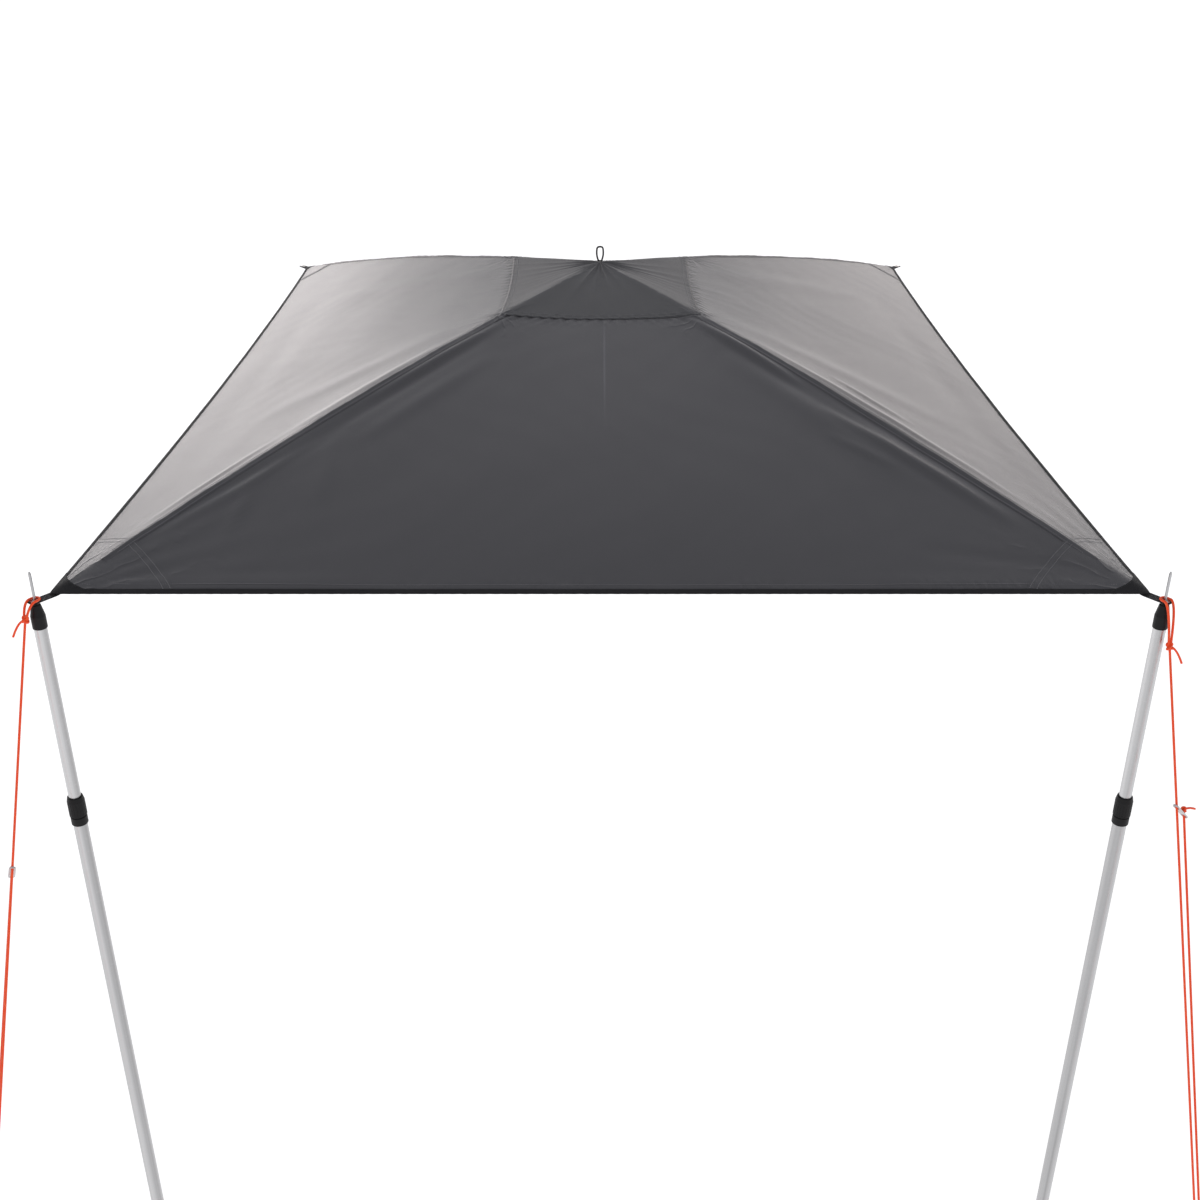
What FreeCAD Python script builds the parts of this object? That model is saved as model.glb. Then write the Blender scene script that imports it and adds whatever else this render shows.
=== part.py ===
"""A tarp shelter: a hip-roofed fabric canopy on two telescopic front poles with guy ropes.

The origin is the middle of the rear hem, which something behind the shelter holds up. +X is to the
right, the front hem is at -Y and +Z is up. All lengths are in millimetres.
"""
import FreeCAD, Part
import math
import os

import Sketcher

Vec = FreeCAD.Vector
UP = Vec(0, 0, 1)

SIZES = {
    # canopy, outside of its binding
    "canopy_width": 2400, "canopy_depth": 3000, "peak_rise": 370, "hip_crown": 31, "side_bow": 35,
    "fabric": 1.5, "patch_ply": 1.0, "binding_wall": 1.0, "binding_width": 12, "binding_lip": 1.5,
    "cap_half_width": 284, "cap_half_depth": 355, "corner_leg": 270,
    # the ribs that hold the peak up, and the tunnels that they run in
    "rib_radius": 4.75, "rib_drop": 12.2, "sleeve_radius": 9, "sleeve_wall": 1,
    "ferrule_radius": 6.3, "ferrule_length": 120, "tip_radius": 7.2, "tip_length": 46,
    "hub_radius": 30, "hub_top": 360, "hub_height": 22, "hub_arm_radius": 8.4, "hub_reach": 75,
    # webbing tabs and eyelets at the corners
    "tab_width": 25, "tab_ply": 2.2, "tab_level": -5.5, "tab_reach": 50, "tab_root": 60,
    "eyelet_reach": 36, "eyelet_bore": 5, "eyelet_barrel": 6.2, "eyelet_flange": 10, "flange_ply": 1,
    # telescopic poles
    "hem_height": 2000, "tube_wall": 1.2, "upper_radius": 14, "upper_top": -36, "upper_end": -1050,
    "lower_radius": 16, "lower_top": -558, "lower_end": -1990, "slide_gap": 0.3,
    "cap_top": -11, "cap_end": -69, "cap_crown_radius": 8, "cap_wall": 2, "spigot_radius": 3,
    "spigot_tip": 66, "spigot_root": -34, "spigot_shoulder": 4, "shoulder_radius": 3.3,
    "nut_radius": 20, "nut_top": -512, "nut_length": 52, "collar_radius": 19, "collar_neck": 17.1,
    "collar_length": 30, "flute_radius": 1.6,
    "foot_radius": 20, "foot_length": 48,
    # guy ropes, runners and pegs
    "rope_radius": 2.75, "loop_radius": 10, "knot_radius": 9, "stopper_radius": 7,
    "runner_length": 54, "runner_width": 15, "runner_ply": 3, "runner_pitch": 34, "runner_tilt": 50,
    "slot_length": 13.4, "slot_width": 7, "peg_radius": 3, "peg_crown": 9, "peg_length": 200,
    # hanging loop on the peak
    "peak_loop_radius": 10, "peak_loop_height": 45, "peak_cord_radius": 1.9, "peak_foot_radius": 2.4,
}

# Where the two sides differ: how far the peg stands from the foot, how far the knot hangs under the
# eyelet, how far down the rope its runner is, and which way the runner spreads the strands.
GUYS = {
    "left": {"side": -1, "peg": (310, -500), "knot": (32, -36), "runner": 0.288, "spread": (-0.35, 0.92, 0)},
    "right": {"side": 1, "peg": (280, -500), "knot": (34, -100), "runner": 0.191, "spread": (0.87, 0.49, 0)},
}
PEG_LEVEL = -1985
SIDES = {"left": -1, "right": 1}
CORNERS = {"front_left": (-1, -1), "front_right": (1, -1), "rear_left": (-1, 1), "rear_right": (1, 1)}

doc = FreeCAD.newDocument("tarp_shelter")
sheet = doc.addObject("Spreadsheet::Sheet", "Sizes")
pieces = []


class Dim:
    """A length, with the formula on the sheet that gives it."""

    def __init__(self, value, text):
        self.value = value
        self.text = text

    def __add__(self, other):
        other = dim(other)
        return Dim(self.value + other.value, f"({self.text} + {other.text})")

    def __sub__(self, other):
        other = dim(other)
        return Dim(self.value - other.value, f"({self.text} - {other.text})")

    def __mul__(self, other):
        other = dim(other)
        return Dim(self.value * other.value, f"({self.text} * {other.text})")

    def __truediv__(self, other):
        other = dim(other)
        return Dim(self.value / other.value, f"({self.text} / {other.text})")

    def __neg__(self):
        return self * -1


def dim(value):
    return value if isinstance(value, Dim) else Dim(float(value), f"({float(value)})")


class Sizes:
    """Each size on the sheet, by its alias."""


S = Sizes()
for row, (alias, number) in enumerate(SIZES.items(), 1):
    sheet.set(f"A{row}", alias)
    sheet.set(f"B{row}", str(number))
    sheet.setAlias(f"B{row}", alias)
    setattr(S, alias, Dim(float(number), f"Sizes.{alias}"))
doc.recompute()

HALF_WIDTH = S.canopy_width / 2
HALF_DEPTH = S.canopy_depth / 2
ROOF = Vec(0, -HALF_DEPTH.value, 0)
DIAGONAL = math.hypot(HALF_WIDTH.value, HALF_DEPTH.value)
POLE_X = HALF_WIDTH.value + S.eyelet_reach.value * HALF_WIDTH.value / DIAGONAL
POLE_Y = -S.canopy_depth.value - S.eyelet_reach.value * HALF_DEPTH.value / DIAGONAL


# ---------------------------------------------------------------- drawing and feature helpers
def number(value):
    return dim(value).value


def draw(sketch, outline):
    """A closed outline of (x, y) points. A third entry bows the edge to the next point, which runs
    along Y, inwards or outwards by that much."""
    count = len(outline)
    for i, (x, y, *bow) in enumerate(outline):
        nx, ny = outline[(i + 1) % count][:2]
        start = Vec(number(x), number(y), 0)
        end = Vec(number(nx), number(ny), 0)
        if bow:
            sketch.addGeometry(bowed_edge(start, end, number(bow[0])))
        else:
            sketch.addGeometry(Part.LineSegment(start, end))
    ends = []
    for i in range(count):
        arc = sketch.Geometry[i]
        start = Vec(number(outline[i][0]), number(outline[i][1]), 0)
        forward = (arc.StartPoint - start).Length < 1e-6
        ends.append((1, 2) if forward else (2, 1))
    for i in range(count):
        following = (i + 1) % count
        sketch.addConstraint(Sketcher.Constraint("Coincident", i, ends[i][1], following, ends[following][0]))
    for i, (x, y, *bow) in enumerate(outline):
        for kind, place in (("DistanceX", x), ("DistanceY", y)):
            bind(sketch, Sketcher.Constraint(kind, -1, 1, i, ends[i][0], number(place)), place)
        if bow:
            chord = dim(outline[(i + 1) % count][1]) - y
            sagitta = dim(bow[0]) * (1 if number(bow[0]) > 0 else -1)
            radius = (chord * chord / 4 + sagitta * sagitta) / (sagitta * 2)
            bind(sketch, Sketcher.Constraint("Radius", i, radius.value), radius)


def bowed_edge(start, end, bow):
    """The arc between two points on a line along Y, drawn anticlockwise."""
    half = abs(end.y - start.y) / 2
    radius = (half**2 + bow**2) / (2 * abs(bow))
    side = 1 if bow > 0 else -1
    centre = (start + end) / 2 + Vec(bow - side * radius, 0, 0)
    opening = math.asin(half / radius)
    facing = 0 if side > 0 else math.pi
    return Part.ArcOfCircle(Part.Circle(centre, UP, radius), facing - opening, facing + opening)


def bind(sketch, constraint, size):
    index = sketch.addConstraint(constraint)
    if isinstance(size, Dim):
        sketch.setExpression(f"Constraints[{index}]", size.text)


def new_body(label):
    body = doc.addObject("PartDesign::Body", label)
    body.Label = label
    pieces.append(body)
    return body


def body_sketch(body, role, outline, offset=0):
    plane = [f for f in body.Origin.OriginFeatures if f.Role == role][0]
    sketch = body.newObject("Sketcher::SketchObject", body.Name + "_outline")
    sketch.AttachmentSupport = [(plane, "")]
    sketch.MapMode = "FlatFace"
    sketch.AttachmentOffset = FreeCAD.Placement(Vec(0, 0, number(offset)), FreeCAD.Rotation())
    draw(sketch, outline)
    return sketch


def turned(label, outline, x, y, z=0):
    """A body turned about a vertical axis: the outline is (radius, height)."""
    body = new_body(label)
    turn = body.newObject("PartDesign::Revolution", label + "_turned")
    turn.Profile = body_sketch(body, "XZ_Plane", outline)
    turn.ReferenceAxis = (turn.Profile[0], ["V_Axis"])
    turn.Angle = 360
    body.Placement = FreeCAD.Placement(Vec(x, y, z), FreeCAD.Rotation())
    return body


def pad(body, role, outline, length):
    feature = body.newObject("PartDesign::Pad", body.Name + "_pad")
    feature.Profile = body_sketch(body, role, outline)
    feature.SideType = "Symmetric"
    feature.setExpression("Length", dim(length).text)
    return feature


def pocket(body, role, outline):
    feature = body.newObject("PartDesign::Pocket", body.Name + "_cut")
    feature.Profile = body_sketch(body, role, outline)
    feature.Type = "ThroughAll"
    feature.SideType = "Symmetric"
    return feature


def round_edges(body, base, direction, radius, wanted=lambda edge: True):
    """Rounds the straight edges of a feature that run along a direction."""
    doc.recompute()
    names = []
    for i, edge in enumerate(base.Shape.Edges, 1):
        straight = edge.Curve.TypeId == "Part::GeomLine"
        if straight and abs(edge.Curve.Direction.dot(direction)) > 0.999 and wanted(edge):
            names.append(f"Edge{i}")
    fillet = body.newObject("PartDesign::Fillet", body.Name + "_round")
    fillet.Base = (base, names)
    fillet.Radius = radius
    return fillet


def solid(kind, **settings):
    """A Part object whose sizes are bound to the sheet."""
    made = doc.addObject("Part::" + kind, kind)
    for setting, value in settings.items():
        if isinstance(value, Dim):
            made.setExpression(setting, value.text)
        else:
            setattr(made, setting, value)
    return made


def piece(made, label, place=None):
    made.Label = label
    if place is not None:
        made.Placement = place
    pieces.append(made)
    return made


def shaped(label, shape, place=None):
    """A piece whose shape has no feature that fits it, such as a rope or a bent rod."""
    return piece(solid("Feature", Shape=shape), label, place or FreeCAD.Placement())


# ---------------------------------------------------------------- rods and ropes
def route(points, radii):
    """Straight runs joined by tangent arcs: one radius for each point between the ends."""
    edges, here = [], points[0]
    for before, corner, after, radius in zip(points, points[1:], points[2:], radii):
        inward = (before - corner).normalize()
        outward = (after - corner).normalize()
        half_turn = (math.pi - inward.getAngle(outward)) / 2
        setback = radius * math.tan(half_turn)
        middle = (inward + outward).normalize() * (radius / math.cos(half_turn) - radius)
        start, end = corner + inward * setback, corner + outward * setback
        if (start - here).Length > 1e-4:
            edges.append(Part.LineSegment(here, start).toShape())
        edges.append(Part.Arc(start, corner + middle, end).toShape())
        here = end
    if (points[-1] - here).Length > 1e-4:
        edges.append(Part.LineSegment(here, points[-1]).toShape())
    return Part.Wire(edges)


def rod(points, radii, radius):
    """A round bar or rope along a route, with its volume compared with its section times its length."""
    wire = route(points, radii)
    ring = Part.Wire(Part.Circle(points[0], points[1] - points[0], radius).toShape())
    made = wire.makePipeShell([ring], True, False)
    expected = math.pi * radius**2 * wire.Length
    assert abs(made.Volume / expected - 1) < 0.002, (made.Volume, expected)
    return made


def arc_tube(start, end, outer, inner=0):
    """A tube along a hip between two distances from the peak, in the plane of that hip."""
    def place(r):
        return Vec(r, 0, hip_centre_z + math.sqrt(hip_radius**2 - (r - hip_centre_r) ** 2))

    spine = Part.Wire(Part.Arc(place(start), place((start + end) / 2), place(end)).toShape())
    tangent = spine.Edges[0].tangentAt(spine.Edges[0].FirstParameter)
    walls = []
    for radius in [r for r in (outer, inner) if r]:
        ring = Part.Wire(Part.Circle(place(start), tangent, radius).toShape())
        walls.append(spine.makePipeShell([ring], True, False))
    return walls[0].cut(walls[1]) if inner else walls[0]


# ---------------------------------------------------------------- canopy fabric
def roof_height(share):
    """The height of the roof at a share of the way from a corner to the peak."""
    rise, crown = S.peak_rise.value, S.hip_crown.value
    return rise * share + 4 * crown * share * (1 - share)


def roof_sheet(across, low, high):
    """A sheet of the roof's parabola, arched across X or Y, between two offsets from the surface."""
    half = number(HALF_WIDTH if across == "X" else HALF_DEPTH)
    reach = number(HALF_DEPTH if across == "X" else HALF_WIDTH)
    knee = S.peak_rise.value / 2 + 2 * S.hip_crown.value

    def point(share, height, offset):
        run = -half * share
        return Vec(run, -reach, height + offset) if across == "X" else Vec(-reach, run, height + offset)

    edges = []
    for offset in (low, high):
        for side in (1, -1):
            curve = Part.BezierCurve()
            curve.setPoles([point(side, 0, offset), point(side / 2, knee, offset),
                            point(0, S.peak_rise.value, offset)])
            edges.append(curve.toShape())
    for side in (1, -1):
        edges.append(Part.LineSegment(point(side, 0, low), point(side, 0, high)).toShape())
    face = Part.Face(Part.Wire(Part.__sortEdges__(edges)))
    along = Vec(0, 2 * reach, 0) if across == "X" else Vec(2 * reach, 0, 0)
    return solid("Feature", Shape=face.extrude(along))


def prism(outline):
    """A tall prism over an outline in plan, drawn about the middle of the roof."""
    sketch = doc.addObject("Sketcher::SketchObject", "plan")
    sketch.Placement = FreeCAD.Placement(Vec(0, 0, -100), FreeCAD.Rotation())
    draw(sketch, outline)
    return solid("Extrusion", Base=sketch, DirMode="Custom", Dir=UP, LengthFwd=700, Solid=True)


def wedge(side, inset=0):
    """The quarter of the roof that one panel covers, less a margin along its hem."""
    inset = dim(inset)
    if side in ("front", "rear"):
        sign = -1 if side == "front" else 1
        edge = (HALF_DEPTH - inset) * sign
        reach = HALF_WIDTH * (HALF_DEPTH - inset) / HALF_DEPTH
        return prism([(-reach, edge), (reach, edge), (0, 0)])
    sign = -1 if side == "left" else 1
    edge = (HALF_WIDTH - inset) * sign
    reach = HALF_DEPTH * (HALF_WIDTH - inset) / HALF_WIDTH
    return prism([(edge, -reach, -S.side_bow * sign), (edge, reach), (0, 0)])


def common(first, second):
    return solid("Common", Base=first, Tool=second)


def cut(first, second):
    return solid("Cut", Base=first, Tool=second)


def make_panels_and_hems():
    place = FreeCAD.Placement(ROOF, FreeCAD.Rotation())
    for side in ("front", "rear", "left", "right"):
        across = "Y" if side in ("front", "rear") else "X"
        fabric = roof_sheet(across, -S.fabric.value, 0)
        panel, edge = (common(fabric, wedge(side, S.binding_lip)) for _ in range(2))
        wall = S.binding_wall.value
        folded = common(roof_sheet(across, -S.fabric.value - wall, wall), wedge(side))
        hem = cut(cut(folded, wedge(side, S.binding_width)), edge)
        piece(panel, f"{side}_panel", place)
        piece(hem, f"{side}_hem_binding", place)


def make_patches():
    """The cap over the peak and the patch at each corner, which lie on the panels."""
    place = FreeCAD.Placement(ROOF, FreeCAD.Rotation())
    plies = {across: roof_sheet(across, 0, S.patch_ply.value) for across in ("X", "Y")}
    x, y = S.cap_half_width, S.cap_half_depth
    corners = [(-x, -y), (x, -y), (x, y), (-x, y)]
    quarters = []
    for i, first in enumerate(corners):
        across = "Y" if i % 2 == 0 else "X"
        quarters.append(common(plies[across], prism([first, corners[(i + 1) % 4], (0, 0)])))
    # the cap's corners lie on the hips, because its sides keep the proportions of the canopy
    piece(solid("MultiFuse", Shapes=quarters, Refine=True), "peak_cap", place)

    margin = S.binding_width + 1
    leg_share = S.corner_leg / HALF_DEPTH
    bow = S.side_bow * leg_share * (-leg_share + 2) + 1
    for corner, (sx, sy) in CORNERS.items():
        hip_x = HALF_WIDTH - margin
        hip_y = HALF_DEPTH - margin
        tip = hip_x * sx, HALF_DEPTH * hip_x / HALF_WIDTH * sy
        end = (HALF_WIDTH - S.corner_leg) * sx, hip_y * sy
        start = (hip_x - bow) * sx, (HALF_DEPTH - S.corner_leg) * sy
        # where the line between the two ends of the legs crosses the hip
        crossing = 1 - (S.corner_leg.value / 2) / HALF_WIDTH.value * 1.1
        inner = HALF_WIDTH * crossing * sx, HALF_DEPTH * crossing * sy
        near = HALF_WIDTH * hip_y / HALF_DEPTH * sx, hip_y * sy
        halves = [common(plies["Y"], prism([near, end, inner])),
                  common(plies["X"], prism([tip, start, inner]))]
        piece(solid("MultiFuse", Shapes=halves, Refine=True), f"{corner}_corner_patch", place)


# ---------------------------------------------------------------- ribs under the hips
def hip_circle():
    """The circle in a hip's plane that the ribs follow, a little under the roof."""
    points = []
    for share in (0.03, 0.5, 0.97):
        points.append(Vec(DIAGONAL * (1 - share), 0, roof_height(share) - S.rib_drop.value))
    circle = Part.Arc(*points).toShape().Curve
    return circle.Center.x, circle.Center.z, circle.Radius


hip_centre_r, hip_centre_z, hip_radius = hip_circle()


def hip_place(corner):
    """The turn that takes a shape drawn along +X from the peak onto one hip."""
    sx, sy = CORNERS[corner]
    angle = math.degrees(math.atan2(sy * HALF_DEPTH.value, sx * HALF_WIDTH.value))
    return FreeCAD.Placement(ROOF, FreeCAD.Rotation(UP, angle))


def make_ribs():
    hub_end, sleeve_gap = S.hub_reach.value, 5
    rib_start = hub_end - 38
    rib_end = DIAGONAL - S.tab_root.value - 14
    length = (rib_end - rib_start) / 3
    joints = [rib_start + length, rib_start + 2 * length]
    sleeves, ferrules, tips = [], [], []
    for corner in CORNERS:
        place = hip_place(corner)
        sections = [arc_tube(rib_start + i * length + 0.5, rib_start + (i + 1) * length - 0.5,
                             S.rib_radius.value) for i in range(3)]
        shaped(f"{corner}_rib", Part.makeCompound(sections), place)
        sleeve = arc_tube(hub_end + sleeve_gap, rib_end + 10, S.sleeve_radius.value,
                          (S.sleeve_radius - S.sleeve_wall).value)
        sleeves.append(sleeve.transformed(place.Matrix))
        half = S.ferrule_length.value / 2
        for joint in joints:
            tube = arc_tube(joint - half, joint + half, S.ferrule_radius.value, S.rib_radius.value + 0.1)
            ferrules.append(tube.transformed(place.Matrix))
        blind = arc_tube(rib_end - S.tip_length.value, rib_end + 8, S.tip_radius.value)
        bore = arc_tube(rib_end - S.tip_length.value - 1, rib_end, S.rib_radius.value + 0.1)
        tips.append(blind.cut(bore).transformed(place.Matrix))
    shaped("hip_sleeves", Part.makeCompound(sleeves))
    shaped("rib_ferrules", Part.makeCompound(ferrules))
    shaped("rib_tips", Part.makeCompound(tips))


def make_hub():
    """The cross under the peak: a disc with an arm along each hip, bored for the rib."""
    slope = math.atan((S.peak_rise.value - 4 * S.hip_crown.value) / DIAGONAL)
    disc = solid("Cylinder", Radius=S.hub_radius, Height=S.hub_height)
    disc.Placement.Base = Vec(0, 0, S.hub_top.value - S.hub_height.value)
    arms, bores = [disc], []
    for corner in CORNERS:
        turn = hip_place(corner).Rotation
        lean = FreeCAD.Rotation(Vec(0, 1, 0), 90 + math.degrees(slope))
        centre = Vec(0, 0, hip_centre_z + math.sqrt(hip_radius**2 - hip_centre_r**2))
        arm = solid("Cylinder", Radius=S.hub_arm_radius, Height=S.hub_reach)
        bore = solid("Cylinder", Radius=S.rib_radius + 0.15, Height=S.hub_reach)
        arm.Placement = FreeCAD.Placement(centre, turn * lean)
        mouth = turn.multVec(Vec(math.cos(slope), 0, -math.sin(slope)))
        bore.Placement = FreeCAD.Placement(centre + mouth * (S.hub_reach.value - 40), turn * lean)
        arms.append(arm)
        bores.append(bore)
    body = solid("MultiFuse", Shapes=arms, Refine=True)
    holes = solid("MultiFuse", Shapes=bores)
    piece(cut(body, holes), "peak_hub", FreeCAD.Placement(ROOF, FreeCAD.Rotation()))


def make_peak_loop():
    """A cord loop that stands on the peak, on a stitched foot."""
    r, height = S.peak_loop_radius.value, S.peak_loop_height.value
    foot = S.peak_rise.value + S.patch_ply.value + 0.6
    cord = rod([Vec(-r * 0.45, 0, foot + 2.4), Vec(-r, 0, foot + 16), Vec(-r, 0, foot + height),
                Vec(r, 0, foot + height), Vec(r, 0, foot + 16), Vec(r * 0.45, 0, foot + 2.4)],
               [14, r - 0.05, r - 0.05, 14], S.peak_cord_radius.value)
    # the sewn foot is round about the axis on which the loop flops
    thick = S.peak_foot_radius.value
    base = Part.makeCylinder(thick, 2 * r - 4, Vec(2 - r, 0, foot + thick), Vec(1, 0, 0))
    shaped("peak_loop", cord.fuse(base).removeSplitter(), FreeCAD.Placement(ROOF, FreeCAD.Rotation()))


# ---------------------------------------------------------------- corner tabs and eyelets
def make_tab(corner):
    """Webbing sewn under the corner, which lies flat beyond it and slopes up with the hip inside."""
    body = new_body(f"{corner}_webbing_tab")
    top, bottom = S.tab_level + S.tab_ply / 2, S.tab_level - S.tab_ply / 2
    rise = roof_height(S.tab_root.value / DIAGONAL) - 6.4
    bend = -14
    outline = [(-S.tab_root, rise - S.tab_ply.value), (bend, bottom), (S.tab_reach, bottom),
               (S.tab_reach, top), (bend, top), (-S.tab_root, rise)]
    strip = pad(body, "XZ_Plane", outline, S.tab_width)
    doc.recompute()
    hole = body.newObject("PartDesign::Pocket", body.Name + "_hole")
    plane = [f for f in body.Origin.OriginFeatures if f.Role == "XY_Plane"][0]
    ring = body.newObject("Sketcher::SketchObject", body.Name + "_ring")
    ring.AttachmentSupport = [(plane, "")]
    ring.MapMode = "FlatFace"
    ring.addGeometry(Part.Circle(Vec(S.eyelet_reach.value, 0, 0), UP, S.eyelet_barrel.value))
    bind(ring, Sketcher.Constraint("DistanceX", -1, 1, 0, 3, S.eyelet_reach.value), S.eyelet_reach)
    ring.addConstraint(Sketcher.Constraint("DistanceY", -1, 1, 0, 3, 0))
    bind(ring, Sketcher.Constraint("Radius", 0, S.eyelet_barrel.value), S.eyelet_barrel)
    hole.Profile = ring
    hole.Type = "ThroughAll"
    hole.SideType = "Symmetric"
    doc.recompute()
    assert hole.Shape.Volume < strip.Shape.Volume - 100
    end = round_edges(body, hole, UP, 5, lambda edge: edge.CenterOfMass.x > 0)
    body.Tip = end
    turn = hip_place(corner).Rotation
    sx, sy = CORNERS[corner]
    at = ROOF + Vec(sx * HALF_WIDTH.value, sy * HALF_DEPTH.value, 0)
    body.Placement = FreeCAD.Placement(at, turn)


def eyelet_outline():
    half = S.tab_ply / 2
    rim = half + S.flange_ply
    bevel = 0.4
    return [(S.eyelet_bore, -rim + bevel), (S.eyelet_bore + bevel, -rim), (S.eyelet_flange - bevel, -rim),
            (S.eyelet_flange, -rim + bevel), (S.eyelet_flange, -half), (S.eyelet_barrel, -half),
            (S.eyelet_barrel, half), (S.eyelet_flange, half), (S.eyelet_flange, rim - bevel),
            (S.eyelet_flange - bevel, rim), (S.eyelet_bore + bevel, rim), (S.eyelet_bore, rim - bevel)]


def make_eyelets():
    level = S.tab_level.value
    rear = POLE_Y + S.canopy_depth.value
    for side, sign in SIDES.items():
        turned(f"front_{side}_eyelet", eyelet_outline(), sign * POLE_X, POLE_Y, level)
        turned(f"rear_{side}_eyelet", eyelet_outline(), sign * POLE_X, -rear, level)


# ---------------------------------------------------------------- poles
def make_pole(side):
    """One telescopic pole, hung on the axis of its eyelet."""
    x, y = SIDES[side] * POLE_X, POLE_Y
    bore = S.upper_radius - S.tube_wall
    turned(f"{side}_upper_tube", [(bore, S.upper_end), (S.upper_radius, S.upper_end),
                                  (S.upper_radius, S.upper_top), (bore, S.upper_top)], x, y)

    sleeve, socket = S.upper_radius + S.cap_wall, S.upper_radius
    turned(f"{side}_top_cap", [
        (S.shoulder_radius, S.cap_top), (S.cap_crown_radius, S.cap_top), (S.cap_crown_radius + 2.5, S.cap_top - 2.5),
        (sleeve - 1, S.cap_top - 24), (sleeve, S.cap_top - 28), (sleeve, S.cap_end + 1),
        (sleeve - 1, S.cap_end), (socket, S.cap_end), (socket, S.upper_top), (S.shoulder_radius, S.upper_top)], x, y)

    tip = S.spigot_tip
    shoulder = S.spigot_shoulder
    turned(f"{side}_spigot", [
        (0, S.spigot_root), (S.shoulder_radius, S.spigot_root), (S.shoulder_radius, shoulder - 0.5),
        (S.spigot_radius, shoulder), (S.spigot_radius, tip - 6), (S.spigot_radius - 1.2, tip - 1),
        (1, tip), (0, tip)], x, y)

    gap = S.slide_gap
    slide = S.lower_radius - S.tube_wall
    flange = S.upper_end - 8
    turned(f"{side}_guide_plug", [
        (0, flange), (slide - gap - 1, flange), (slide - gap, flange + 1), (slide - gap, S.upper_end),
        (bore, S.upper_end), (bore, S.upper_end + 22), (bore - 1, S.upper_end + 23), (0, S.upper_end + 23)], x, y)

    turned(f"{side}_lower_tube", [(slide, S.lower_end), (S.lower_radius, S.lower_end),
                                  (S.lower_radius, S.lower_top), (slide, S.lower_top)], x, y)

    neck_top, foot = S.lower_top + 8, S.lower_top - S.collar_length
    step = S.lower_top - 8
    turned(f"{side}_collar", [
        (S.lower_radius, foot), (S.collar_radius - 1.5, foot), (S.collar_radius, foot + 1.5), (S.collar_radius, step - 1),
        (S.collar_radius - 1, step), (S.collar_neck, step), (S.collar_neck, neck_top),
        (S.upper_radius + gap, neck_top), (S.upper_radius + gap, S.lower_top), (S.lower_radius, S.lower_top)], x, y)

    collet_foot, collet_top = neck_top + 1, S.nut_top - 9
    collet = turned(f"{side}_grip_collet", [
        (S.upper_radius + gap, collet_foot), (S.collar_neck - 1, collet_foot), (S.collar_neck, collet_foot + 1),
        (S.collar_neck - 1.2, collet_top), (S.upper_radius + gap, collet_top)], x, y)
    doc.recompute()
    slit = collet.newObject("PartDesign::Pocket", f"{side}_slit")
    slit.Profile = body_sketch(collet, "XZ_Plane", [
        (-1.5, collet_foot + 4), (1.5, collet_foot + 4), (1.5, collet_top + 1), (-1.5, collet_top + 1)])
    slit.Type = "ThroughAll"
    slit.SideType = "Symmetric"
    fan = collet.newObject("PartDesign::PolarPattern", f"{side}_slits")
    fan.Originals = [slit]
    fan.Axis = (slit.Profile[0], ["V_Axis"])
    fan.Angle = 360
    fan.Occurrences = 6
    collet.Tip = fan

    make_nut(side, x, y)

    rim = S.foot_radius
    ground = -S.hem_height
    turned(f"{side}_foot", [
        (0, ground), (rim - 4, ground), (rim - 1, ground + 2), (rim, ground + 6), (rim, ground + 14),
        (S.lower_radius + 2.5, ground + 22), (S.lower_radius + 2, ground + S.foot_length - 1),
        (S.lower_radius + 1, ground + S.foot_length), (S.lower_radius, ground + S.foot_length),
        (S.lower_radius, S.lower_end), (0, S.lower_end)], x, y)


def make_nut(side, x, y):
    """The twist nut of the clamp, fluted for the hand."""
    top = S.nut_top
    foot = top - S.nut_length
    bore = S.collar_neck + 0.3
    nut = turned(f"{side}_clamp_nut", [
        (bore, foot), (S.nut_radius - 1, foot), (S.nut_radius, foot + 1), (S.nut_radius, top - 12),
        (S.nut_radius - 2.5, top - 1), (S.nut_radius - 3.5, top), (S.upper_radius + 0.4, top),
        (S.upper_radius + 0.4, top - 8), (bore, top - 8)], x, y)
    doc.recompute()
    flute = nut.newObject("PartDesign::Pocket", f"{side}_flute")
    plane = [f for f in nut.Origin.OriginFeatures if f.Role == "XY_Plane"][0]
    ring = nut.newObject("Sketcher::SketchObject", f"{side}_flute_ring")
    ring.AttachmentSupport = [(plane, "")]
    ring.MapMode = "FlatFace"
    ring.AttachmentOffset = FreeCAD.Placement(Vec(0, 0, top.value - 13), FreeCAD.Rotation())
    edge = S.nut_radius + 0.9
    ring.addGeometry(Part.Circle(Vec(edge.value, 0, 0), UP, S.flute_radius.value))
    bind(ring, Sketcher.Constraint("DistanceX", -1, 1, 0, 3, edge.value), edge)
    ring.addConstraint(Sketcher.Constraint("DistanceY", -1, 1, 0, 3, 0))
    bind(ring, Sketcher.Constraint("Radius", 0, S.flute_radius.value), S.flute_radius)
    flute.Profile = ring
    flute.Type = "Length"
    flute.Length = 34
    fan = nut.newObject("PartDesign::PolarPattern", f"{side}_flutes")
    fan.Originals = [flute]
    fan.Axis = (ring, ["N_Axis"])
    fan.Angle = 360
    fan.Occurrences = 20
    nut.Tip = fan


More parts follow.
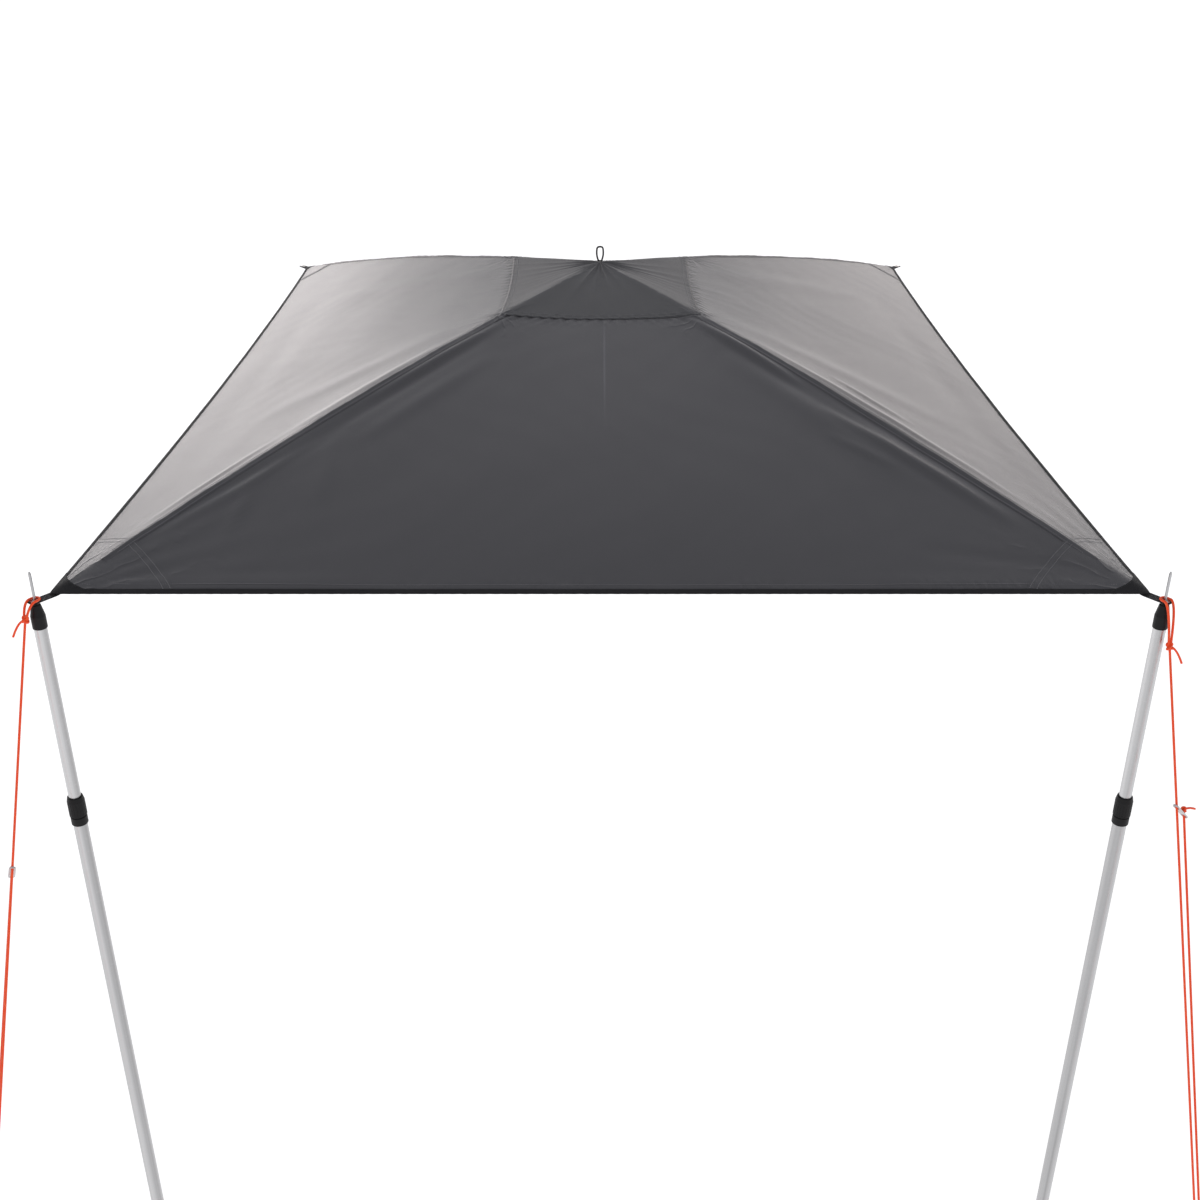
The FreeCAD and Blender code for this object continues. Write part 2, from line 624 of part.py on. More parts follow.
# ---------------------------------------------------------------- guy ropes
def make_guy(side):
    """Rope from the spigot to the peg and back up to the runner."""
    guy = GUYS[side]
    out, forward = guy["peg"]
    rope = S.rope_radius.value
    pin = Vec(guy["side"] * POLE_X, POLE_Y, 0)
    bend = S.peg_radius.value + rope + 0.3
    peg = pin + Vec(guy["side"] * out, forward, PEG_LEVEL)
    away = Vec(guy["side"] * out, forward, 0).normalize()
    across = UP.cross(away)
    knot = pin + away * guy["knot"][0] + UP * guy["knot"][1]
    # the rope rounds the peg towards the side that its return hangs on, so that the two never cross
    turn = math.copysign(bend, across.dot(Vec(*guy["spread"])))
    near, far = peg - across * turn, peg + across * turn
    down = (near - knot).normalize()

    make_loop(side, pin, away, across, knot, down)

    start = knot + down * (S.knot_radius.value - 1.5)
    line = rod([start, near + down * bend, far + down * bend, far], [bend - 0.02, bend - 0.02], rope)
    shaped(f"{side}_guy_line", line)

    spread = Vec(*guy["spread"])
    spread = (spread - down * spread.dot(down)).normalize()
    hole = knot + down * ((near - knot).Length * guy["runner"])
    tilt = math.radians(S.runner_tilt.value)
    along = spread * math.cos(tilt) + down * math.sin(tilt)
    second = hole + along * S.runner_pitch.value
    back = (far - second).normalize()
    end = second - back * 6.5
    shaped(f"{side}_guy_return", straight(far, end, rope))

    make_runner(side, hole, along, down, spread)
    stopper = second - back * 13.8
    tail = rod([stopper, stopper + spread * 16 - down * 2, stopper + spread * 36 + down * 9], [22], rope * 0.9)
    ball = Part.makeSphere(S.stopper_radius.value, stopper)
    shaped(f"{side}_stopper_knot", ball.fuse(tail).removeSplitter())
    make_peg(side, peg, down, away)
    print(side, "guy line", round(route([start, near + down * bend, far + down * bend, far],
                                        [bend - 0.02] * 2).Length), "return", round((far - end).Length),
          "slide axis", [round(v, 5) for v in down], "hole", [round(v, 1) for v in hole])


def straight(start, end, radius):
    return Part.makeCylinder(radius, (end - start).Length, start, end - start)


def make_loop(side, pin, away, across, knot, down):
    """The loop that is slipped over the spigot, with the knot and tail that close it."""
    r = S.loop_radius.value
    level = pin + UP * (S.tab_level.value + S.tab_ply.value / 2 + S.flange_ply.value + S.rope_radius.value + 0.3)
    close = S.rope_radius.value + 0.3
    ring = [knot + across * close, level + away * 22 + across * r, level - away * r + across * r,
            level - away * r - across * r, level + away * 22 - across * r, knot - across * close]
    cord = rod(ring, [7, r - 0.05, r - 0.05, 7], S.rope_radius.value)
    half = S.knot_radius.value
    barrel = Part.makeCylinder(half, 2 * half, knot - down * half, down)
    aside = Vec(GUYS[side]["side"], 0, 0)
    tail = rod([knot, knot + aside * 16 - UP * 3, knot + aside * 34 - UP * 42], [22], S.rope_radius.value * 0.9)
    shaped(f"{side}_guy_loop", cord.fuse([barrel, tail]).removeSplitter())


def make_runner(side, hole, along, down, spread):
    """A flat alloy bar with a slot for each strand."""
    body = new_body(f"{side}_runner")
    half, margin = S.runner_width / 2, (S.runner_length - S.runner_pitch) / 2
    bar = pad(body, "XY_Plane", [(-margin, -half), (S.runner_pitch + margin, -half),
                                 (S.runner_pitch + margin, half), (-margin, half)], S.runner_ply)
    rounded = round_edges(body, bar, UP, S.runner_width.value / 2 - 0.3)
    doc.recompute()
    slot, wide = S.slot_length / 2, S.slot_width / 2
    last = rounded
    for start in (dim(0), S.runner_pitch):
        opening = pocket(body, "XY_Plane", [(start - slot, -wide), (start + slot, -wide),
                                            (start + slot, wide), (start - slot, wide)])
        doc.recompute()
        last = round_edges(body, opening, UP, 2.4, lambda edge, middle=start.value: (
            abs(edge.CenterOfMass.x - middle) < S.slot_length.value / 2 + 0.1
            and abs(edge.CenterOfMass.y) < S.slot_width.value / 2 + 0.1))
        doc.recompute()
    body.Tip = last
    across = down.cross(spread)
    normal = along.cross(across)
    frame = FreeCAD.Matrix(along.x, across.x, normal.x, hole.x, along.y, across.y, normal.y, hole.y,
                           along.z, across.z, normal.z, hole.z, 0, 0, 0, 1)
    body.Placement = FreeCAD.Placement(frame)


def make_peg(side, peg, down, away):
    """A round steel peg, bent over at the top so that the rope can't ride up off it."""
    crown = S.peg_crown.value
    middle = peg + down * crown
    shank = middle - away * crown
    shank_foot = shank - UP * (S.peg_length.value - 14)
    lip = middle + away * crown
    bar = rod([shank_foot, shank + UP * crown, lip + UP * crown, lip - UP * 12],
              [crown - 0.02, crown - 0.02], S.peg_radius.value)
    point = Part.makeCone(S.peg_radius.value, 0.6, 14, shank_foot, -UP)
    shaped(f"{side}_peg", bar.fuse(point).removeSplitter())


# ---------------------------------------------------------------- build and export
def main():
    make_panels_and_hems()
    make_patches()
    make_ribs()
    make_hub()
    make_peak_loop()
    for corner in CORNERS:
        make_tab(corner)
    make_eyelets()
    for side in SIDES:
        make_pole(side)
        make_guy(side)
    doc.recompute()

    for thing in doc.Objects:
        bad = [word for word in thing.State if word in ("Invalid", "Error")]
        assert not bad, (thing.Label, thing.State)
    os.makedirs("parts", exist_ok=True)
    names = [made.Label for made in pieces]
    assert len(set(names)) == len(names) and len(names) <= 60, len(names)
    for made in pieces:
        shape = made.Shape
        assert not shape.isNull() and shape.isValid() and shape.Volume > 0, made.Label
        shape.exportStep(f"parts/{made.Label}.step")
    print(len(pieces), "pieces")


main()
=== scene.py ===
"""The looks of a hip-roofed tarp shelter on two telescopic poles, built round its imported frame."""
import math

import bpy
import numpy as np
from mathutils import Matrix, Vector


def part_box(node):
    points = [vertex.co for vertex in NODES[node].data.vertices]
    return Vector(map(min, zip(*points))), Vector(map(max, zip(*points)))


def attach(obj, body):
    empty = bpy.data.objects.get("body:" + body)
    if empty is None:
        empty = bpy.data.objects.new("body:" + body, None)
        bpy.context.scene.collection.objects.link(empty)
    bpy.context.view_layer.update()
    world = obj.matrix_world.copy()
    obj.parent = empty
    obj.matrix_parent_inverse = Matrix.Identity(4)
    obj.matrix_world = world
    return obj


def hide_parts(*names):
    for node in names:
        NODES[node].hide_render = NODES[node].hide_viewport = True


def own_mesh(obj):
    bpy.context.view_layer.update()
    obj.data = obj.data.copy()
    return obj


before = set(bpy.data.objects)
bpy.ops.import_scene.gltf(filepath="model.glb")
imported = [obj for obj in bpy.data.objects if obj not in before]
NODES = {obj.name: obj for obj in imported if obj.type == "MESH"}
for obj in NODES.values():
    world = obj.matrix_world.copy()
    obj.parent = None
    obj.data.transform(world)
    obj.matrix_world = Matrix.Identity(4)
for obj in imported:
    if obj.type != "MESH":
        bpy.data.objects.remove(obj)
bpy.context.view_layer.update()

MM = 0.001
HALF_WIDTH, HALF_DEPTH = 1.2, 1.5
PEAK_RISE, CROWN = 0.37, 0.124
SIDE_BOW = 0.035
CAP_HALF_WIDTH, CAP_HALF_DEPTH = 0.284, 0.355
CAP_EDGE = CAP_HALF_WIDTH / HALF_WIDTH
CAP_SHARE = 1 - CAP_EDGE
EYE_REACH, TAB_REACH, TAB_ROOT, TAB_LEVEL = 36 * MM, 49.5 * MM, -59 * MM, -5.5 * MM
TAB_STITCH_LEVEL, TAB_STITCH_OFF = -4.3 * MM, 9.5 * MM
LOOP_FOOT = 0.3740
PEG_LEVEL = -1.985
ROPE, TAIL = 2.75 * MM, 2.475 * MM
RUNNER_PITCH, RUNNER_TILT, RUNNER_TRAVEL = 34 * MM, math.radians(50), 0.9
CORNERS = {"front_left": (-1, -1), "front_right": (1, -1), "rear_right": (1, 1), "rear_left": (-1, 1)}
UP = Vector((0, 0, 1))


# ---------------------------------------------------------------- finishes
class Signal:
    """What comes out of one socket, for sums written as Python expressions."""

    def __init__(self, finish, socket):
        self.finish, self.socket = finish, socket

    def __add__(self, other):
        return self.finish.sum("ADD", self, other)

    def __sub__(self, other):
        return self.finish.sum("SUBTRACT", self, other)

    def __rsub__(self, other):
        return self.finish.sum("SUBTRACT", other, self)

    def __mul__(self, other):
        return self.finish.sum("MULTIPLY", self, other)

    def __truediv__(self, other):
        return self.finish.sum("DIVIDE", self, other)

    def __abs__(self):
        return self.finish.sum("ABSOLUTE", self)

    def __gt__(self, other):
        return self.finish.sum("GREATER_THAN", self, other)

    __radd__, __rmul__ = __add__, __mul__

    def sine(self):
        return self.finish.sum("SINE", self)

    def largest(self, other):
        return self.finish.sum("MAXIMUM", self, other)

    def clipped(self):
        return self.finish.node("ShaderNodeClamp", {}, {"Value": self})


class Finish:
    """A node-based material, whose even values sit on the shader's own sockets."""

    def __init__(self, name, **even):
        self.material = bpy.data.materials.new(name)
        self.material.use_nodes = True
        self.tree = self.material.node_tree
        self.shader = self.tree.nodes["Principled BSDF"]
        for label, value in even.items():
            self.shader.inputs[label.replace("_", " ")].default_value = value

    def node(self, kind, settings, inputs, output=0):
        made = self.tree.nodes.new(kind)
        for label, value in settings.items():
            if label == "stops":
                ramp = made.color_ramp.elements
                while len(ramp) < len(value):
                    ramp.new(0.5)
                for element, (place, colour) in zip(ramp, value):
                    element.position, element.color = place, (*colour, 1)
            else:
                setattr(made, label, value)
        for label, value in inputs.items():
            socket = made.inputs[label]
            if isinstance(value, Signal):
                self.tree.links.new(value.socket, socket)
            else:
                socket.default_value = value
        return Signal(self, made.outputs[output])

    def sum(self, operation, *values):
        return self.node("ShaderNodeMath", {"operation": operation}, dict(enumerate(values)))

    def place(self, kind="Object"):
        return self.node("ShaderNodeTexCoord", {}, {}, kind)

    def stretched(self, scale, kind="Object"):
        return self.node("ShaderNodeMapping", {}, {"Vector": self.place(kind), "Scale": scale})

    def axes(self, vector):
        split = self.tree.nodes.new("ShaderNodeSeparateXYZ")
        self.tree.links.new(vector.socket, split.inputs[0])
        return [Signal(self, socket) for socket in split.outputs]

    def speckle(self, scale, detail=4, stretch=(1, 1, 1), kind="Object"):
        where = self.stretched(stretch, kind)
        return self.node("ShaderNodeTexNoise", {}, {"Vector": where, "Scale": scale, "Detail": detail})

    def shades(self, mask, low, high):
        """A colour from low where the mask is 0 to high where it is 1."""
        mix = self.node("ShaderNodeMix", {"data_type": "RGBA"}, {"Factor": mask}, 2)
        node = mix.socket.node
        for index, colour in ((6, low), (7, high)):
            if isinstance(colour, Signal):
                self.tree.links.new(colour.socket, node.inputs[index])
            else:
                node.inputs[index].default_value = (*colour, 1)
        return mix

    def between(self, mask, low, high):
        """A number from low where the mask is 0 to high where it is 1."""
        return mask * (high - low) + low

    def feed(self, colour=None, roughness=None, height=None, depth=MM, strength=1.0, metallic=None):
        for label, value in (("Base Color", colour), ("Roughness", roughness), ("Metallic", metallic)):
            if value is not None:
                self.tree.links.new(value.socket, self.shader.inputs[label])
        if height is not None:
            bump = self.node("ShaderNodeBump", {}, {"Height": height, "Distance": depth, "Strength": strength})
            self.tree.links.new(bump.socket, self.shader.inputs["Normal"])
        return self


def plain_weave(finish, pitch, kind="Object"):
    """Threads over and under each other, 0 to 1 in height."""
    x, y, _ = finish.axes(finish.place(kind))
    warp = abs((x * (math.pi / pitch)).sine())
    weft = abs((y * (math.pi / pitch)).sine())
    over = ((x * (math.pi / pitch)).sine() * (y * (math.pi / pitch)).sine()) > 0
    return warp * over + weft * (1 - over)


def strain(finish, dx, dy, waves, start, reach, seed):
    """Tight folds that fan out from a place where the cloth is pulled, in millimetres."""
    far = finish.sum("SQRT", dx * dx + dy * dy)
    turn = finish.sum("ARCTAN2", dy, dx)
    uneven = finish.speckle(4 + seed, 2) * 6
    ridge = 1 - abs((turn * waves + uneven).sine())
    share = ((finish.speckle(17 + seed, 1) - 0.42) * 6).clipped()
    return ridge * ridge * share * (far / start).clipped() * (1 - far / reach).clipped()


def coated_cloth(name, shade, gloss, sheen, pitch):
    """Polyester cloth with a proofed face. Its folds are drawn as heights in millimetres."""
    finish = Finish(name, IOR=1.5, Sheen_Weight=sheen, Sheen_Roughness=0.4, Coat_Roughness=0.3)
    broad, fine = finish.speckle(1.7, 3), finish.speckle(45, 5)
    crumple = finish.speckle(9, 6, (1, 0.6, 1))
    x, y, _ = finish.axes(finish.place())
    y = y + HALF_DEPTH
    aside, ahead = abs(x), abs(y)
    # the crease down the middle of the front, from how the canopy was packed
    packed = 1 - (abs(x - 0.012) / 0.004).clipped()
    fold = packed * ((-0.35 - y) * 8).clipped() * ((y + 0.90) * 4).clipped()
    tone = (broad * 0.55 + fine * 0.3 + crumple * 0.15).clipped()
    dark, light = [c * 0.82 for c in shade], [c * 1.2 for c in shade]
    worn = [c * 2.6 for c in shade]
    # puckers: across the cap's seam, and along the front hem right of the middle
    from_side, from_front = aside / HALF_WIDTH, ahead / HALF_DEPTH
    on_front = (from_front - from_side) > 0
    ripples = (finish.speckle(75, 2, (1, 0.16, 1)) * on_front
               + finish.speckle(75, 2, (0.16, 1, 1)) * (1 - on_front))
    seam = (1 - abs(from_side.largest(from_front) - CAP_EDGE) * (HALF_WIDTH / 0.03)).clipped()
    hem = (1 - abs(-1.48 - y) / 0.035).clipped() * ((x + 1.25) * 0.8).clipped()
    puckers = (ripples - 0.45) * (seam * 4.5 + hem * 3.5 * ((finish.speckle(4, 1) - 0.45) * 8).clipped())
    finish.feed(
        colour=finish.shades(fold * 0.8, finish.shades(tone, dark, light), worn),
        roughness=finish.between(tone, gloss - 0.05, gloss + 0.07),
        height=(plain_weave(finish, pitch) * 0.06 + crumple * 0.55 + fine * 0.07 + fold * 0.6 + puckers
                + strain(finish, x, y, 9, 0.015, 0.17, 0) * 3.2
                + strain(finish, 1.215 - aside, 1.515 - ahead, 11, 0.07, 0.42, 3) * 2.4
                + strain(finish, 0.29 - aside, 0.36 - ahead, 5, 0.01, 0.15, 5) * 1.8))
    return finish.material


def ribbed_tape(name, shade, pitch):
    """Woven tape and webbing: ribs across both axes, dull, with a little dust and painted shade between the
    ribs.
    """
    finish = Finish(name, Sheen_Weight=0.04, Sheen_Roughness=0.5, Specular_IOR_Level=0.22)
    ribs = plain_weave(finish, pitch)
    dust = finish.speckle(60, 5)
    # painted shade: the colour is darker between the ribs and lighter on their crowns; the dust speckle mixed
    # in is real dust
    finish.feed(
        colour=finish.shades((ribs * 0.5 + dust * 0.5).clipped(), shade, [c * 2.3 for c in shade]),
        roughness=finish.between(dust, 0.62, 0.85), height=ribs, depth=0.3 * MM, strength=0.7)
    return finish.material


def drawn_alloy(name, shade, rough):
    """Anodised tube with fine lines drawn along it, faint rings where the tubes slide, and painted reflection
    in light and dark bands along it.
    """
    finish = Finish(name, Metallic=1.0, Anisotropic=0.35)
    lines = finish.speckle(520, 3, (1, 1, 0.012))
    blotch, scuffs = finish.speckle(14, 4, (1, 1, 0.3)), finish.speckle(70, 2, (1, 1, 6))
    rubbed = ((scuffs - 0.58) * 5).clipped()
    # painted reflection: light and dark bands round the tube, drawn out along it, stand in for the bright and
    # dark surroundings that the tube mirrors
    painted_reflection_bands = ((finish.speckle(55, 2, (1, 1, 0.002)) - 0.36) * 3.2).clipped()
    colour = finish.shades(painted_reflection_bands * 0.8 + blotch * 0.2, [c * 0.66 for c in shade], [c * 1.16 for c in shade])
    finish.feed(
        colour=finish.shades(rubbed * 0.35, colour, [min(1, c * 1.12) for c in shade]),
        roughness=(finish.between(lines, rough - 0.05, rough + 0.1) + rubbed * 0.08),
        height=lines, depth=0.05 * MM, strength=0.35)
    return finish.material


def moulded(name, shade, rough, grain=600.0):
    """Injection-moulded plastic or rubber with a spark-eroded texture."""
    finish = Finish(name, Specular_IOR_Level=0.2)
    texture, wear = finish.speckle(grain, 3), finish.speckle(30, 5)
    scratches = ((finish.speckle(90, 3, (1, 1, 0.15)) - 0.62) * 8).clipped()
    finish.feed(
        colour=finish.shades((wear * 0.7 + scratches * 0.3).clipped(), shade, [c * 1.9 + 0.004 for c in shade]),
        roughness=finish.between(wear, rough - 0.08, rough + 0.1) - scratches * 0.08,
        height=texture + wear * 0.6, depth=0.12 * MM, strength=0.5)
    return finish.material


def bare_metal(name, shade, rough):
    """Plated or turned metal with small scratches."""
    finish = Finish(name, Metallic=1.0)
    patina, scratch = finish.speckle(85, 6), finish.speckle(420, 2, (1, 0.08, 1))
    finish.feed(
        colour=finish.shades(patina, [c * 0.72 for c in shade], shade),
        roughness=finish.between(patina, rough - 0.06, rough + 0.14),
        height=scratch * 0.5 + patina * 0.5, depth=0.08 * MM, strength=0.5)
    return finish.material


def glass_rod(name):
    """Pultruded rod: fibres along it under a clear resin."""
    finish = Finish(name, Coat_Weight=0.35, Coat_Roughness=0.2)
    fibres = finish.speckle(240, 4, (1, 1, 0.5))
    finish.feed(colour=finish.shades(fibres, (0.012, 0.012, 0.013), (0.05, 0.05, 0.052)),
                roughness=finish.between(fibres, 0.28, 0.42), height=fibres, depth=0.05 * MM, strength=0.4)
    return finish.material


def braid(name, shade, tracer, plaits=8, lay=9 * MM):
    """Braided rope. The map runs along the rope in metres, and once round it."""
    finish = Finish(name, Sheen_Weight=0.08, Sheen_Roughness=0.45, Specular_IOR_Level=0.3)
    along, around, _ = finish.axes(finish.place("UV"))
    right = (around * plaits + along / lay) * math.pi
    left = (around * plaits - along / lay) * math.pi
    over = (right.sine() * left.sine()) > 0
    strands = abs(right.sine()) * over + abs(left.sine()) * (1 - over)
    fuzz = finish.speckle(700, 3)
    marked = ((around * math.tau + along * (math.tau / (lay * plaits / 2))).sine() - 0.93) > 0
    # painted shade: the colour is darker in the grooves between the strands, where shade falls, and the tracer
    # shows only on the crowns
    painted_groove_shade = (strands * 1.5).clipped()
    colour = finish.shades(painted_groove_shade, [c * 0.55 for c in shade], shade)
    colour = finish.shades(marked * painted_groove_shade * 0.6, colour, tracer)
    finish.feed(colour=finish.shades(fuzz * 0.25, colour, [min(1, c * 1.25 + 0.02) for c in shade]),
                roughness=finish.between(fuzz, 0.5, 0.7), height=strands + fuzz * 0.15,
                depth=0.35 * MM, strength=0.8)
    return finish.material


def sewing_thread(name, shade):
    finish = Finish(name, Sheen_Weight=0.2)
    ply = finish.speckle(1500, 2)
    finish.feed(colour=finish.shades(ply, [c * 0.7 for c in shade], [c * 1.3 for c in shade]),
                roughness=finish.between(ply, 0.5, 0.7), height=ply, depth=0.05 * MM)
    return finish.material


CLOTH = coated_cloth("proofed_grey_cloth", (0.034, 0.033, 0.038), 0.40, 0.35, 1.1 * MM)
CAP_CLOTH = coated_cloth("heavy_grey_cloth", (0.044, 0.044, 0.047), 0.55, 0.15, 1.4 * MM)
TAPE = ribbed_tape("black_hem_tape", (0.006, 0.006, 0.007), 1.3 * MM)
WEBBING = ribbed_tape("black_webbing", (0.005, 0.005, 0.006), 1.7 * MM)
UPPER_ALLOY = drawn_alloy("satin_tube", (0.55, 0.55, 0.555), 0.30)
LOWER_ALLOY = drawn_alloy("satin_lower_tube", (0.50, 0.50, 0.505), 0.32)
BLACK_PLASTIC = moulded("black_nylon", (0.004, 0.004, 0.0045), 0.46)
RUBBER = moulded("black_rubber", (0.013, 0.013, 0.013), 0.72, 300.0)
STEEL = bare_metal("plated_steel", (0.52, 0.52, 0.53), 0.32)
NICKEL = bare_metal("nickel_eyelet", (0.72, 0.71, 0.69), 0.25)
RUNNER_ALLOY = bare_metal("tumbled_alloy", (0.66, 0.66, 0.67), 0.35)
FERRULE = bare_metal("drawn_ferrule", (0.70, 0.70, 0.71), 0.3)
RODS = glass_rod("black_glass_rod")
ORANGE_ROPE = braid("orange_braid", (1.0, 0.078, 0.012), (1.0, 0.20, 0.06))
BLACK_CORD = braid("black_braid", (0.006, 0.006, 0.0065), (0.05, 0.05, 0.05), 6, 7 * MM)
THREAD = sewing_thread("grey_thread", (0.16, 0.16, 0.17))
BLACK_THREAD = sewing_thread("black_thread", (0.012, 0.012, 0.013))


# ---------------------------------------------------------------- the run of the cloth
def crease(x, y, start, end, width, height):
    """A long soft fold between two places on the roof: up if height is positive."""
    a, b = np.array(start), np.array(end)
    run = b - a
    length = np.hypot(*run)
    t = ((x - a[0]) * run[0] + (y - a[1]) * run[1]) / length**2
    off = ((x - a[0]) * run[1] - (y - a[1]) * run[0]) / length
    swell = np.sin(np.pi * np.clip(t, 0, 1)) ** 0.8
    return height * swell * np.exp(-((off / width) ** 2))


def gathers(x, y, centre, waves, reach, start, height, seed):
    """Uneven folds that fan out from a point that pulls on the cloth."""
    dx, dy = x - centre[0], y - centre[1]
    far, turn = np.hypot(dx, dy), np.arctan2(dy, dx)
    uneven = np.sin(2 * turn + seed) * 1.7 + np.sin(5 * turn + 2.3 * seed) * 0.8
    crest = 1 - np.abs(np.sin(waves / 2 * turn + uneven + seed)) ** 0.8
    share = 0.6 + 0.4 * np.sin(3 * turn + 1.3 * seed)
    fade = np.clip(far / start, 0, 1) ** 1.5 * np.exp(-far / reach)
    return height * (crest - 0.45) * share * fade


FOLDS = [
    # right hip, front side: the crest beside the cap's corner, the tucks below it and their hollows
    ((0.252, -0.362), (0.53, -0.728), 0.013, 0.0100),
    ((0.34, -0.51), (0.70, -0.96), 0.022, -0.0040),
    ((0.56, -0.82), (0.96, -1.28), 0.015, 0.0080),
    ((0.50, -0.66), (1.00, -1.27), 0.018, -0.0065),
    ((0.56, -0.93), (0.72, -1.08), 0.009, 0.0030),
    ((0.33, -0.56), (0.80, -1.18), 0.034, 0.0040),
    # left hip, front side
    ((-0.25, -0.365), (-0.60, -0.80), 0.012, 0.0065),
    ((-0.30, -0.46), (-0.75, -1.02), 0.020, -0.0055),
    ((-0.27, -0.54), (-0.62, -0.99), 0.026, 0.0040),
    ((-0.66, -0.93), (-1.03, -1.34), 0.013, 0.0050),
    ((-0.62, -0.90), (-1.05, -1.33), 0.018, -0.0045),
    # short slack folds off the left hip
    ((-0.82, -1.10), (-0.85, -1.33), 0.014, 0.0030),
    ((-0.74, -1.02), (-0.92, -1.25), 0.012, 0.0026),
    ((-0.66, -0.92), (-0.66, -1.22), 0.020, 0.0022),
    # tight line over the front hem, and the strain lines into the corner patches
    ((-1.16, -1.475), (-0.55, -1.470), 0.014, 0.0040),
    ((0.55, -1.470), (1.16, -1.475), 0.014, 0.0032),
    ((0.70, -1.36), (1.10, -1.43), 0.016, -0.0020),
    # right panel, beside the hip
    ((0.42, -0.47), (1.02, -1.19), 0.016, 0.0050),
    ((0.62, -0.60), (0.80, -0.83), 0.012, 0.0032),
    # left panel, beside the hip
    ((-0.42, -0.48), (-0.80, -0.93), 0.018, 0.0040),
    ((-0.80, -0.92), (-1.06, -1.26), 0.011, 0.0036),
    # side panels: strain between the front and rear corners, and down from the cap's corners
    ((1.05, -1.25), (0.98, 0.9), 0.05, -0.0030),
    ((-1.05, -1.25), (-0.99, 0.9), 0.05, -0.0030),
    ((0.34, -0.28), (0.95, -0.72), 0.05, 0.0030),
    ((-0.34, -0.28), (-0.95, -0.72), 0.05, 0.0030),
    ((0.30, 0.20), (0.92, 0.62), 0.06, 0.0030),
    ((-0.30, 0.20), (-0.92, 0.62), 0.06, 0.0030),
    # rear panel
    ((0.30, 0.45), (0.96, 1.28), 0.028, -0.0060),
    ((-0.30, 0.45), (-0.96, 1.28), 0.028, -0.0060),
    ((-0.10, 0.40), (-0.16, 1.30), 0.05, 0.0030),
]


def lift(x, y):
    """Height of the cloth over the hem plane. x and y are measured from the peak."""
    x, y = np.asarray(x, float), np.asarray(y, float)
    across, along = 1 - np.abs(x) / HALF_WIDTH, 1 - np.abs(y) / HALF_DEPTH
    round_off = 0.014
    overlap = np.clip(1 - np.abs(across - along) / round_off, 0, 1)
    share = np.minimum(across, along) - round_off / 4 * overlap**2
    z = PEAK_RISE * share + CROWN * share * (1 - share)
    # each panel hangs a little between its hips
    low = np.minimum(across, along)
    offset = np.maximum(across, along)
    turn = np.clip((1 - offset) / np.maximum(1 - low, 1e-4), 0, 1)
    inside = np.clip(low, 0, 1)
    sag = np.where(along < across, 0.019, 0.014)
    z -= sag * (1 - turn**2) * np.sin(np.pi * inside**1.2)
    hem = np.clip(inside * HALF_WIDTH / 0.03, 0, 1)
    waves = gathers(x, y, (0, 0), 26, 0.12, 0.05, 0.0085, 0.7)
    for seed, (sx, sy) in enumerate(CORNERS.values()):
        waves += gathers(x, y, (sx * 1.21, sy * 1.51), 34, 0.20, 0.10, 0.0075, seed * 1.9 + 0.4)
        # the cap's corners pull too
        waves += gathers(x, y, (sx * CAP_HALF_WIDTH, sy * CAP_HALF_DEPTH), 11, 0.075, 0.03, 0.0045,
                         seed * 2.7 + 1.1)
    for start, end, width, height in FOLDS:
        waves += crease(x, y, start, end, width, height)
    # slack ripples, long across the slope
    waves += 0.0007 * np.sin(17 * x + 2.5 * np.sin(3.1 * y)) * np.sin(9 * y + 2.0 * np.sin(4.3 * x) + 1)
    waves += 0.0003 * np.sin(41 * x + 3 * np.sin(7 * y) + 2) * np.sin(29 * y + 2 * np.sin(11 * x))
    # puckers where the cap is sewn down
    seam = np.abs(low - CAP_SHARE) * 1.3
    waves += 0.0011 * np.sin(190 * (x + y)) * np.exp(-((seam / 0.022) ** 2))
    return z + waves * hem


def hip_direction(corner):
    """How far a hip runs from the peak to its corner, and its direction in plan."""
    sx, sy = CORNERS[corner]
    length = math.hypot(HALF_WIDTH, HALF_DEPTH)
    return length, sx * HALF_WIDTH / length, sy * HALF_DEPTH / length


def hem_place(side, t, depth):
    """A place in from the hem: t runs from -1 to 1 along it, and depth is the distance in."""
    if side in ("front", "rear"):
        sign = -1 if side == "front" else 1
        rest = 1 - depth / HALF_DEPTH
        return t * HALF_WIDTH * rest, sign * HALF_DEPTH * rest
    sign = -1 if side == "left" else 1
    rest = 1 - depth / HALF_WIDTH
    return sign * (HALF_WIDTH - SIDE_BOW * (1 - t**2)) * rest, t * HALF_DEPTH * rest


def on_roof(x, y, above=0.0):
    """Points on the cloth, in the shelter's own frame."""
    x, y = np.broadcast_arrays(np.asarray(x, float), np.asarray(y, float))
    return np.stack([x, y - HALF_DEPTH, lift(x, y) + above], axis=-1)


# ---------------------------------------------------------------- making and placing pieces
def deselect():
    bpy.ops.object.select_all(action="DESELECT")


def hold(made):
    deselect()
    made.select_set(True)
    bpy.context.view_layer.objects.active = made


def apply(made, kind, **settings):
    """Adds a modifier and applies it."""
    hold(made)
    modifier = made.modifiers.new(kind.title(), kind)
    for label, value in settings.items():
        setattr(modifier, label, value)
    bpy.ops.object.modifier_apply(modifier=modifier.name)


def place(made, body, slot, material, *stands_for, angle=35):
    """Gives a finished piece its material, its body and the CAD nodes that it stands for."""
    made.data.materials.clear()
    made.data.materials.append(material)
    hold(made)
    bpy.ops.object.transform_apply(location=True, rotation=True, scale=True)
    if angle:
        bpy.ops.object.shade_smooth_by_angle(angle=math.radians(angle))
    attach(made, body)
    if stands_for:
        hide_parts(*stands_for)
    return made


